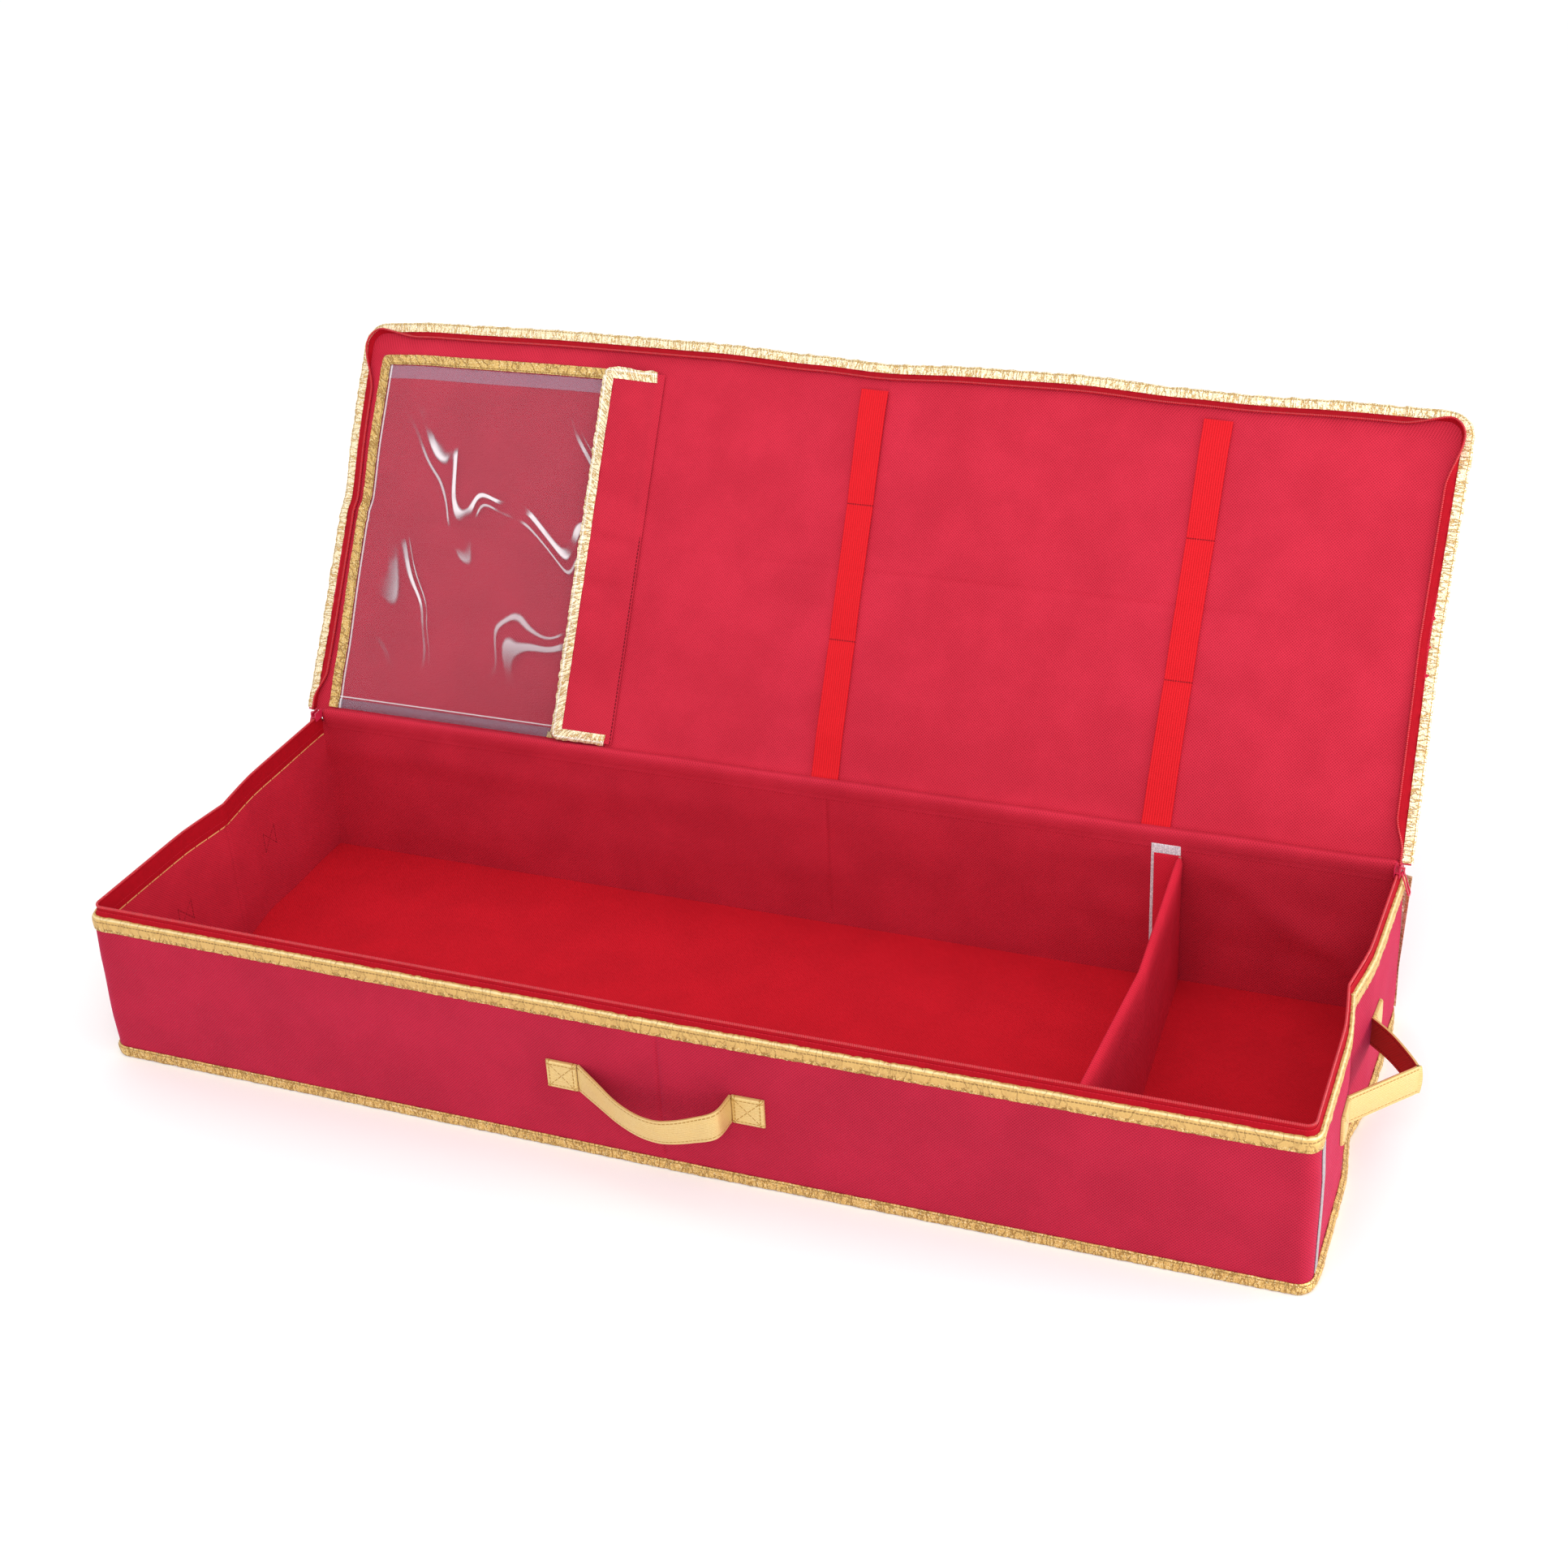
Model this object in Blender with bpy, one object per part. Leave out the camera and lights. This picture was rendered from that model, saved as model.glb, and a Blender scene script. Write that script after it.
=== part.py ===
"""Gift wrap organizer: a long soft case of cloth over stiff board, with a zip-round lid that
carries a clear pocket and two elastic straps, one lift-out divider and three webbing handles.

Units are metres. X runs along the case, Y from the front wall to the back wall, Z up.
The origin is the middle of the flat underside. The lid is shown open, as in use.
"""

import math

import bmesh
import bpy
from mathutils import Matrix, Vector

# The case: its outer size, and how its soft walls stand
box_length = 1.035
box_depth = 0.380
wall_height = 0.140
front_corner_radius = 0.012
rear_corner_radius = 0.004
crease_x = 0.008
crease_fold = 0.006
front_bow = 0.003
side_pull = 0.009
lid_pull = 0.003

# Each half of a side wall, from its corner to the crease: share of the half depth, share of the pull
side_crease_shares = ((0.72, 0.2), (1.0, 1.0))

# Layers of the walls, floor and lid, and the gap that sewn layers keep
cloth = 0.0008
board = 0.0018
seam_gap = 0.0003
board_rim_drop = 0.002
board_margin = 0.004

# Metallic binding tape
binding = 0.0010
rim_binding_width = 0.012
foot_binding_width = 0.010
foot_lift = 0.0005
lid_binding_width = 0.0085
lid_binding_start = 0.012
rear_binding_width = 0.010
rear_binding_stand = 0.006
rear_binding_edge = 0.0012
rear_binding_taper = 0.090

# Zip: tape, the two rows of the chain, sliders and their ring pulls
zip_tape = 0.0007
tape_lap = 0.012
tape_rise = 0.0062
lid_tape_drop = 0.0045
row_height = 0.0030
row_width = 0.0022
row_gap = 0.0016
slider_length = 0.012
slider_plate = 0.0010
slider_play = 0.0005
slider_bridge = 0.0008
slider_cover = 0.0004
slider_start = 0.008
bail_wire = 0.0009
bail_height = 0.0030
bail_span = 0.0058
bail_width = 0.0026
pull_length = 0.022
pull_width = 0.0070
pull_wire = 0.0012
pull_play = 0.0004
pull_corner_segments = 4

# Lid: how far it stands open in use, and its cloth hinge
lid_open_angle = math.radians(121.0)
hinge_inset = 0.0035
hinge_bead_radius = 0.0014
hinge_bead_play = 0.0005
hinge_bead_segments = 8
hinge_hem = 0.0016
hinge_end_margin = 0.016
lid_corner_radius = 0.018

# Clear pocket on the lid's lining, and its closing flap
pocket_left_margin = 0.0195
pocket_width = 0.239
pocket_start = 0.006
pocket_top_margin = 0.031
pocket_depth = 0.009
pocket_binding_width = 0.0095
pocket_bulge_clearance = 0.001
pocket_mouth_turn_share = 0.6
pocket_fullness_share = 0.5
pocket_columns = 7
pocket_rows = 9
vinyl = 0.0005
flap_overlap = 0.0066
flap_reach = 0.0586
flap_half_thickness = 0.0004
flap_axis_height = 0.0011
flap_binding_width = 0.0095
flap_binding_start = 0.0075

# Elastic straps on the lid's lining
elastic = 0.0012
elastic_width = 0.0254
elastic_start = 0.004
elastic_top_margin = 0.025
middle_strap_foot_x = 0.0040
middle_strap_head_x = -0.0015
right_strap_foot_x = 0.3063
right_strap_head_x = 0.3101

# Divider and the hook tapes that hold it
divider_front_x = 0.338
divider_middle_x = 0.343
divider_rear_x = 0.331
divider_top_drop = 0.008
divider_flange_width = 0.025
divider_flange = 0.0012
hook_tape = 0.0016
hook_tape_width = 0.0254
hook_tape_foot = 0.003
hook_tape_rear_drop = 0.001
hook_tape_shift = 0.002
corner_tape = 0.0008
corner_tape_width = 0.011
corner_tape_start = 0.001
corner_tape_clearance = 0.002

# Webbing handles
webbing = 0.0016
webbing_width = 0.0254
pad_length = 0.027
pad_thickness = 0.0030
front_handle_x = 0.0033
front_handle_span = 0.1327
front_handle_height = 0.0735
front_handle_bow = 0.026
front_handle_sag = 0.019
front_handle_twist = math.radians(20.0)
side_handle_span = 0.114
side_handle_height = 0.073
side_handle_bow = 0.046
strap_end_gap = 0.0012

# Strap paths: share of the span, of the bow away from the wall, and of the sag
front_strap_shares = (
    (0.0, 0.0, 0.0), (0.147, 0.35, 0.31), (0.305, 0.69, 0.71), (0.452, 0.92, 0.93), (0.58, 1.0, 1.0),
    (0.685, 1.0, 0.88), (0.82, 0.96, 0.57), (0.975, 0.9, 0.06), (1.0, 0.04, 0.0))
side_strap_shares = (
    (0.0, 0.0, 0.0), (0.16, 0.33, 0.0), (0.33, 0.68, 0.0), (0.485, 1.0, 0.0), (0.515, 1.0, 0.0),
    (0.66, 0.76, 0.0), (0.84, 0.41, 0.0), (1.0, 0.0, 0.0))

# Places worked out from the sizes above
half_length = box_length / 2
half_depth = box_depth / 2
board_inset = cloth + seam_gap
lining_inset = board_inset + board + seam_gap
wall_thickness = lining_inset + cloth
inner_inset = wall_thickness + seam_gap
wall_foot = cloth + seam_gap
floor_lining_low = wall_foot + board + seam_gap
floor_top = floor_lining_low + cloth
board_top = wall_height - board_rim_drop
base_tape_top = wall_height + tape_rise
base_row_low = base_tape_top + seam_gap
base_row_high = base_row_low + row_height
base_row_inset = inner_inset + zip_tape / 2
divider_half_thickness = cloth + seam_gap + board / 2
hinge_y = half_depth - hinge_inset
hinge_z = base_row_high + row_gap / 2

# Lid places, from the hinge axis with the lid closed
lid_row_low = row_gap / 2
lid_row_high = lid_row_low + row_height
lid_tape_low = lid_row_high + seam_gap
lid_tape_high = lid_tape_low + lid_tape_drop
lid_face = lid_tape_high + seam_gap
lid_board_low = lid_face + cloth + seam_gap
lid_cover_low = lid_board_low + board + seam_gap
lid_cover_high = lid_cover_low + cloth
lid_panel_inset = binding + seam_gap
lid_tape_inset = lid_binding_width + seam_gap
lid_row_inset = lid_tape_inset + zip_tape / 2
lid_overhang = lid_row_inset - base_row_inset
lid_front_y = -half_depth - lid_overhang - hinge_y
lid_rear_y = -(cloth + seam_gap)
lid_lane_y = half_depth - hinge_y
pocket_head = -lid_front_y - pocket_top_margin
elastic_head = -lid_front_y - elastic_top_margin


# Materials

def make_material(name, colour, roughness, metallic=0.0, alpha=1.0):
    """A plain Principled material."""
    material = bpy.data.materials.new(name)
    material.use_nodes = True
    shader = material.node_tree.nodes["Principled BSDF"]
    shader.inputs["Base Color"].default_value = (*colour, 1.0)
    shader.inputs["Roughness"].default_value = roughness
    shader.inputs["Metallic"].default_value = metallic
    shader.inputs["Alpha"].default_value = alpha
    material.diffuse_color = (*colour, alpha)
    return material


def make_materials():
    """Every finish on the case, by name."""
    return {
        "cover_cloth": make_material("cover_cloth", (0.49, 0.03, 0.07), 0.85),
        "lining_cloth": make_material("lining_cloth", (0.42, 0.02, 0.05), 0.88),
        "stiff_board": make_material("stiff_board", (0.36, 0.31, 0.26), 0.9),
        "gold_binding": make_material("gold_binding", (0.70, 0.46, 0.16), 0.38, 0.75),
        "gold_webbing": make_material("gold_webbing", (0.80, 0.58, 0.22), 0.5, 0.45),
        "zip_tape": make_material("zip_tape", (0.50, 0.01, 0.03), 0.8),
        "zip_chain": make_material("zip_chain", (0.56, 0.01, 0.03), 0.45),
        "slider_enamel": make_material("slider_enamel", (0.60, 0.02, 0.06), 0.3, 0.2),
        "clear_vinyl": make_material("clear_vinyl", (0.92, 0.88, 0.9), 0.12, 0.0, 0.3),
        "elastic_band": make_material("elastic_band", (0.72, 0.015, 0.03), 0.75),
        "hook_tape": make_material("hook_tape", (0.72, 0.66, 0.72), 0.7),
    }


# Shape helpers

def add_object(name, mesh_data, material):
    """Turn a finished bmesh into a named object with outward faces."""
    bmesh.ops.recalc_face_normals(mesh_data, faces=mesh_data.faces)
    mesh = bpy.data.meshes.new(name)
    mesh_data.to_mesh(mesh)
    mesh_data.free()
    mesh.materials.append(material)
    made = bpy.data.objects.new(name, mesh)
    bpy.context.scene.collection.objects.link(made)
    return made


def add_pivot(name, location, turn_x=0.0, parent=None):
    """An empty on a joint axis, which carries the pieces that move about it."""
    pivot = bpy.data.objects.new(name, None)
    pivot.location = location
    pivot.rotation_euler = (turn_x, 0.0, 0.0)
    pivot.parent = parent
    bpy.context.scene.collection.objects.link(pivot)
    return pivot


def put_origin(made, point):
    """Move an object's origin to a point and leave its shape where it is."""
    made.data.transform(Matrix.Translation(-Vector(point)))
    made.location = point
    return made


def prism(name, points, low, high, material):
    """A flat outline, given as plan points, raised from one height to another."""
    shape = bmesh.new()
    corners = [shape.verts.new((point[0], point[1], low)) for point in points]
    base_face = shape.faces.new(corners)
    raised = bmesh.ops.extrude_face_region(shape, geom=[base_face])
    moved = [item for item in raised["geom"] if isinstance(item, bmesh.types.BMVert)]
    bmesh.ops.translate(shape, verts=moved, vec=(0.0, 0.0, high - low))
    return add_object(name, shape, material)


def loft(name, sections, material, closed=False):
    """Join sections of equal corner counts into one skin, with end caps unless it is a ring."""
    shape = bmesh.new()
    rings = [[shape.verts.new(corner) for corner in section] for section in sections]
    following = rings[1:] + rings[:1] if closed else rings[1:]
    for ring, next_ring in zip(rings, following):
        for index in range(len(ring)):
            beyond = (index + 1) % len(ring)
            shape.faces.new((ring[index], ring[beyond], next_ring[beyond], next_ring[index]))
    if not closed:
        shape.faces.new(rings[0])
        shape.faces.new(rings[-1])
    return add_object(name, shape, material)


def offset_run(points, inset, closed):
    """Shift a plan run to its left by the inset, with mitred corners."""
    count = len(points)
    shifted = []
    for index, point in enumerate(points):
        before = points[index - 1] if closed or index > 0 else None
        after = points[(index + 1) % count] if closed or index < count - 1 else None
        normals = []
        if before is not None:
            step = (point - before).normalized()
            normals.append(Vector((-step.y, step.x)))
        if after is not None:
            step = (after - point).normalized()
            normals.append(Vector((-step.y, step.x)))
        total = sum(normals, Vector((0.0, 0.0)))
        reach = inset * 2 / total.length_squared if len(normals) == 2 else inset
        shifted.append(point + total * reach)
    return shifted


def trimmed(run, start_trim, end_trim):
    """Shorten a run at both ends, along its own first and last stretch."""
    first = run[0] + (run[1] - run[0]).normalized() * start_trim
    last = run[-1] + (run[-2] - run[-1]).normalized() * end_trim
    return [first] + run[1:-1] + [last]


def sweep(name, rails, heights, material, closed=False):
    """A band whose section corners follow rails at their own heights."""
    sections = []
    for station in zip(*rails):
        sections.append([(point.x, point.y, height) for point, height in zip(station, heights)])
    return loft(name, sections, material, closed)


def rectangle_profile(inset_a, inset_b, low, high):
    """Section of a plain band: pairs of inset and height."""
    return ((inset_a, low), (inset_b, low), (inset_b, high), (inset_a, high))


def channel_profile(width, low, high):
    """Section of a tape folded over an edge: two legs and the turn between them."""
    return (
        (0.0, low - binding), (width, low - binding), (width, low), (binding, low),
        (binding, high), (width, high), (width, high + binding), (0.0, high + binding))


# Plan of the case

def rounded(corner, before, after, radius):
    """Start, middle and end of the arc that rounds a square corner."""
    back = (before - corner).normalized() * radius
    onward = (after - corner).normalized() * radius
    centre = corner + back + onward
    middle = centre + (corner - centre).normalized() * radius
    return [corner + back, middle, corner + onward]


def side_points(direction):
    """The right side wall's bends from front to rear; direction -1 gives the left wall's."""
    front_half = []
    for along, pull in side_crease_shares:
        x = direction * (half_length - pull * side_pull)
        front_half.append(Vector((x, (along - 1.0) * half_depth)))
    rear_half = [Vector((point.x, -point.y)) for point in reversed(front_half[:-1])]
    return front_half + rear_half


def case_plan():
    """The case's outer face from above, anticlockwise from the front left corner."""
    front_left = Vector((-half_length, -half_depth))
    front_right = Vector((half_length, -half_depth))
    rear_right = Vector((half_length, half_depth))
    rear_left = Vector((-half_length, half_depth))
    front_crease = Vector((crease_x, -half_depth - front_bow))
    rear_crease = Vector((crease_x, half_depth))
    right = side_points(1.0)
    left = list(reversed(side_points(-1.0)))
    corner_0 = rounded(front_left, left[-1], front_crease, front_corner_radius)
    corner_1 = rounded(front_right, front_crease, right[0], front_corner_radius)
    corner_2 = rounded(rear_right, right[-1], rear_crease, rear_corner_radius)
    corner_3 = rounded(rear_left, rear_crease, left[0], rear_corner_radius)
    return (corner_0[1:] + [front_crease] + corner_1 + right + corner_2 + [rear_crease]
            + corner_3 + left + corner_0[:1])


# Stretches of the plan, as positions in its list of points
plan = case_plan()
front_run = (0, 1, 2, 3, 4)
right_run = (4, 5, 6, 7, 8, 9, 10)
back_run = (10, 11, 12, 13, 14)
left_run = (14, 15, 16, 17, 18, 19, 0)
rim_run = (15, 16, 17, 18, 19, 0, 1, 2, 3, 4, 5, 6, 7, 8, 9)


def plan_rail(run, inset, start_trim=0.0, end_trim=0.0):
    """Points of one stretch of the case's plan, moved in by the inset."""
    moved = offset_run(plan, inset, True)
    return trimmed([moved[index] for index in run], start_trim, end_trim)


def wall_band(name, run, profile, material, start_trim=0.0, end_trim=0.0):
    """A layer of a wall: a section swept along one stretch of the plan."""
    rails = [plan_rail(run, inset, start_trim, end_trim) for inset, height in profile]
    return sweep(name, rails, [height for inset, height in profile], material)


def wall_patch(name, start, end, reach, low, high, inset, thickness, material):
    """A flat piece on a straight stretch of wall, between two distances from its start."""
    along = (end - start).normalized()
    inward = Vector((-along.y, along.x))
    near = start + along * reach[0] + inward * inset
    far = start + along * reach[1] + inward * inset
    points = [near, far, far + inward * thickness, near + inward * thickness]
    return prism(name, points, low, high, material)


# Base: bottom, floor and walls

def make_floor(finish):
    """Bottom cloth, the two floor boards and the floor lining."""
    prism("bottom_cover", plan, 0.0, cloth, finish["cover_cloth"])
    inner = offset_run(plan, inner_inset, True)
    half_fold = Vector((crease_fold / 2, 0.0))
    left_half = [inner[index] for index in (13, 14, 15, 16, 17, 18, 19, 0, 1)]
    left_outline = left_half + [inner[2] - half_fold, inner[12] - half_fold]
    right_outline = [inner[index] for index in (3, 4, 5, 6, 7, 8, 9, 10, 11)]
    right_outline += [inner[12] + half_fold, inner[2] + half_fold]
    prism("floor_board_left", left_outline, wall_foot, wall_foot + board, finish["stiff_board"])
    prism("floor_board_right", right_outline, wall_foot, wall_foot + board, finish["stiff_board"])
    prism("floor_lining", inner, floor_lining_low, floor_top, finish["lining_cloth"])


def make_wall(side, run, finish):
    """Cover and lining of one wall."""
    cover = rectangle_profile(0.0, cloth, wall_foot, wall_height)
    lining = rectangle_profile(lining_inset, wall_thickness, wall_foot, wall_height)
    wall_band(side + "_cover", run, cover, finish["cover_cloth"], seam_gap, seam_gap)
    wall_band(side + "_lining", run, lining, finish["lining_cloth"], seam_gap, seam_gap)


def make_wall_boards(side, names, run, finish):
    """The two stiff boards of one wall, with the fold of the wall between them."""
    middle = len(run) // 2
    profile = rectangle_profile(board_inset, board_inset + board, wall_foot, board_top)
    half_fold = crease_fold / 2
    wall_band(side + names[0], run[:middle + 1], profile, finish["stiff_board"], seam_gap, half_fold)
    wall_band(side + names[1], run[middle:], profile, finish["stiff_board"], half_fold, seam_gap)


def make_walls(finish):
    """Front, right, back and left walls."""
    for side, run in (("front", front_run), ("right", right_run), ("back", back_run), ("left", left_run)):
        make_wall(side, run, finish)
    make_wall_boards("front", ("_board_left", "_board_right"), front_run, finish)
    make_wall_boards("back", ("_board_right", "_board_left"), back_run, finish)
    make_wall_boards("right", ("_board_front", "_board_rear"), right_run, finish)
    make_wall_boards("left", ("_board_rear", "_board_front"), left_run, finish)


def make_base_bindings(finish):
    """Metallic tape round the foot, round the rim, and down the two rear corners."""
    outer = -(seam_gap + binding)
    foot = rectangle_profile(outer, -seam_gap, foot_lift, foot_binding_width)
    rails = [offset_run(plan, inset, True) for inset, height in foot]
    gold = finish["gold_binding"]
    sweep("bottom_binding", rails, [height for inset, height in foot], gold, closed=True)
    rim = rectangle_profile(outer, -seam_gap, wall_height - rim_binding_width, wall_height)
    wall_band("top_binding", rim_run, rim, gold)
    for side, direction in (("right", 1.0), ("left", -1.0)):
        make_rear_binding("rear_binding_" + side, direction, gold)


def make_rear_binding(name, direction, gold):
    """Tape on a rear corner, which stands out past the side wall near the lid."""
    inner_x = half_length - rear_binding_width
    foot_z = foot_binding_width + seam_gap
    taper_z = wall_height - rear_binding_taper
    outline = (
        (inner_x, foot_z), (half_length + rear_binding_edge, foot_z),
        (half_length + rear_binding_edge, taper_z), (half_length + rear_binding_stand, wall_height),
        (inner_x, wall_height))
    near_y = half_depth + seam_gap
    sections = []
    for y in (near_y, near_y + binding):
        sections.append([(direction * x, y, z) for x, z in outline])
    loft(name, sections, gold)


# Zip on the base

def make_base_zip(finish):
    """Zip tape standing on the rim, and its row of the chain."""
    tape_low = wall_height - tape_lap
    tape = rectangle_profile(inner_inset, inner_inset + zip_tape, tape_low, base_tape_top)
    wall_band("base_zipper_tape", rim_run, tape, finish["zip_tape"])
    half_row = row_width / 2
    near, far = base_row_inset - half_row, base_row_inset + half_row
    row = rectangle_profile(near, far, base_row_low, base_row_high)
    wall_band("base_zipper_chain", rim_run, row, finish["zip_chain"])


def slider_section():
    """The slider's section: two plates joined by the bridge that parts the two rows."""
    inner = row_width / 2 + slider_play
    outer = inner + slider_plate
    top = row_gap / 2 + row_height + slider_cover
    half_bridge = slider_bridge / 2
    quarter = [(outer, top), (inner, top), (inner, half_bridge)]
    mirrored = [(-x, z) for x, z in reversed(quarter)]
    lower = [(-x, -z) for x, z in quarter]
    lower_mirrored = [(x, -z) for x, z in reversed(quarter)]
    return quarter + mirrored + lower + lower_mirrored


def bail_outline(plate_face):
    """Side view of the bail, a staple that stands out of the slider's outer plate."""
    outer = plate_face + bail_height
    half_span = bail_span / 2
    inner_half = half_span - bail_wire
    return (
        (plate_face, half_span), (outer, half_span), (outer, -half_span), (plate_face, -half_span),
        (plate_face, -inner_half), (outer - bail_wire, -inner_half),
        (outer - bail_wire, inner_half), (plate_face, inner_half))


def slider_faces(shape, rings, section_count):
    """Skin between the slider's four sections, but for the outer plate, which carries the bail."""
    outer_edge = section_count - 1
    for ring, next_ring in zip(rings, rings[1:]):
        for edge in range(outer_edge):
            shape.faces.new((ring[edge], ring[edge + 1], next_ring[edge + 1], next_ring[edge]))
    shape.faces.new(rings[0])
    shape.faces.new(rings[-1])


def bail_faces(shape, rings, bail, direction):
    """Grow the bail from the middle of the outer plate, as one skin with it."""
    foot_indices = (0, 7, 4, 3)
    grown = []
    for ring in rings[1:3]:
        y = ring[0].co.y
        grown.append([shape.verts.new((direction * x, y, z)) for x, z in bail])
    near, far = grown
    for edge in (0, 1, 2, 4, 5, 6):
        shape.faces.new((near[edge], near[edge + 1], far[edge + 1], far[edge]))
    shape.faces.new(near)
    shape.faces.new(far)
    near_feet = [near[index] for index in foot_indices]
    far_feet = [far[index] for index in foot_indices]
    shape.faces.new([rings[0][-1], rings[0][0], rings[1][0]] + near_feet + [rings[1][-1]])
    shape.faces.new([rings[3][-1], rings[3][0], rings[2][0]] + far_feet + [rings[2][-1]])
    near_line = [rings[1][0]] + near_feet + [rings[1][-1]]
    far_line = [rings[2][0]] + far_feet + [rings[2][-1]]
    for edge in (0, 2, 4):
        shape.faces.new((near_line[edge], near_line[edge + 1], far_line[edge + 1], far_line[edge]))


def make_slider(name, direction, turn, place, material):
    """Slider with its bail, on its lane; direction -1 gives the left one."""
    shape = bmesh.new()
    section = slider_section()
    bail = bail_outline(section[0][0])
    half = slider_length / 2
    rings = []
    for y in (-half, -bail_width / 2, bail_width / 2, half):
        rings.append([shape.verts.new((direction * x, y, z)) for x, z in section])
    slider_faces(shape, rings, len(section))
    bail_faces(shape, rings, bail, direction)
    bmesh.ops.rotate(shape, verts=shape.verts, cent=(0.0, 0.0, 0.0), matrix=turn)
    made = add_object(name, shape, material)
    made.location = place
    return made


def arc_corner(centre, radius, start, end, segments):
    """Points of a round corner, both ends included."""
    points = []
    for step in range(segments + 1):
        angle = start + (end - start) * step / segments
        points.append(centre + Vector((math.cos(angle), math.sin(angle))) * radius)
    return points


def pull_outline():
    """Centre line of the ring pull: its top bar lies on the first axis, the rest hangs below."""
    radius = pull_width / 4
    half = pull_width / 2
    right_angle = math.pi / 2
    points = []
    low = radius - pull_length
    corners = (
        (Vector((radius - half, -radius)), right_angle), (Vector((radius - half, low)), math.pi),
        (Vector((half - radius, low)), 3 * right_angle), (Vector((half - radius, -radius)), 0.0))
    for centre, start in corners:
        points += arc_corner(centre, radius, start, start + right_angle, pull_corner_segments)
    return points


def make_pull(name, direction, turn, slider_place, material):
    """Ring pull through the slider's bail, leaning out over the metallic rim."""
    section = slider_section()
    bar_out = section[0][0] + (bail_height - bail_wire) / 2
    bar_drop = bail_span / 2 - bail_wire - pull_wire - pull_play
    bar_to_edge = base_row_inset - bar_out + seam_gap + binding
    bar_to_rim = hinge_z - bar_drop - wall_height
    reach = math.hypot(bar_to_edge, bar_to_rim)
    lean = math.atan2(bar_to_edge, bar_to_rim) + math.asin((pull_wire / 2 + pull_play) / reach)
    line = pull_outline()
    rails = [offset_run(line, inset, True) for inset in (-pull_wire / 2, pull_wire / 2)]
    sections = []
    for outer, inner in zip(rails[0], rails[1]):
        corners = []
        for point, side in ((outer, -1.0), (inner, -1.0), (inner, 1.0), (outer, 1.0)):
            out = side * pull_wire / 2
            x = out * math.cos(lean) - point.y * math.sin(lean)
            z = out * math.sin(lean) + point.y * math.cos(lean)
            corners.append(turn @ Vector((direction * x, point.x, z)))
        sections.append(corners)
    made = loft(name, sections, material, closed=True)
    made.location = slider_place + turn @ Vector((direction * bar_out, 0.0, -bar_drop))
    return made


def make_sliders(finish):
    """Both sliders and their pulls, near the rear ends of the chain."""
    enamel = finish["slider_enamel"]
    for side, direction, run in (("right", 1.0, (9, 8)), ("left", -1.0, (15, 16))):
        rear, front = [offset_run(plan, base_row_inset, True)[index] for index in run]
        lane = (rear - front).normalized()
        turn = Matrix.Rotation(-math.atan2(lane.x, lane.y), 3, "Z")
        y = hinge_y - slider_start
        x = rear.x + lane.x / lane.y * (y - rear.y)
        place = Vector((x, y, hinge_z))
        make_slider(side + "_slider", direction, turn, place, enamel)
        make_pull(side + "_pull", direction, turn, place, enamel)


# Pieces on the walls

def pad_reach(distance):
    """A pad's stretch of wall, from its end nearest the handle's middle."""
    return distance, distance + pad_length


def mirrored_patch(name, start, end, reach, low, high, inset, thickness, material):
    """A wall piece whose distances run against the wall's own direction."""
    return wall_patch(name, start, end, reach, low, high, -inset, -thickness, material)


def make_handle_pads(finish):
    """Sewn webbing pads, two on the front wall and two on each side wall."""
    gold = finish["gold_webbing"]
    half_front = front_handle_span / 2
    inset = -(seam_gap + pad_thickness)
    half_width = webbing_width / 2
    front_low = front_handle_height - half_width
    front_high = front_handle_height + half_width
    side_low = side_handle_height - half_width
    side_high = side_handle_height + half_width
    crease = plan[2]
    right_reach = pad_reach(half_front + front_handle_x - crease_x)
    left_reach = pad_reach(half_front - front_handle_x + crease_x)
    wall_patch(
        "front_handle_pad_right", crease, plan[3], right_reach, front_low, front_high,
        inset, pad_thickness, gold)
    mirrored_patch(
        "front_handle_pad_left", crease, plan[1], left_reach, front_low, front_high,
        inset, pad_thickness, gold)
    for side, front_bend, front_end, rear_bend, rear_end, forward in (
            ("right", 6, 5, 8, 9, mirrored_patch), ("left", 18, 19, 16, 15, wall_patch)):
        rearward = wall_patch if forward is mirrored_patch else mirrored_patch
        reach = pad_reach(side_handle_span / 2 + plan[front_bend].y)
        forward(
            side + "_handle_pad_front", plan[front_bend], plan[front_end], reach, side_low, side_high,
            inset, pad_thickness, gold)
        rearward(
            side + "_handle_pad_rear", plan[rear_bend], plan[rear_end], reach, side_low, side_high,
            inset, pad_thickness, gold)


def strap_sections(path, tilts, middle_z):
    """Sections of a webbing strap that stands on edge along a plan path."""
    half_thickness = webbing / 2
    half_width = webbing_width / 2
    line = [Vector((x, out)) for x, out, sag in path]
    rails = [offset_run(line, inset, False) for inset in (half_thickness, -half_thickness)]
    sections = []
    for index, (x, out, sag) in enumerate(path):
        across = rails[0][index] - rails[1][index]
        lean = across.normalized() * half_width * math.sin(tilts[index])
        rise = half_width * math.cos(tilts[index])
        section = []
        for rail, side in ((0, 1.0), (0, -1.0), (1, -1.0), (1, 1.0)):
            point = rails[rail][index] - lean * side
            section.append((point.x, point.y, middle_z - sag + rise * side))
        sections.append(section)
    return sections


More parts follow.
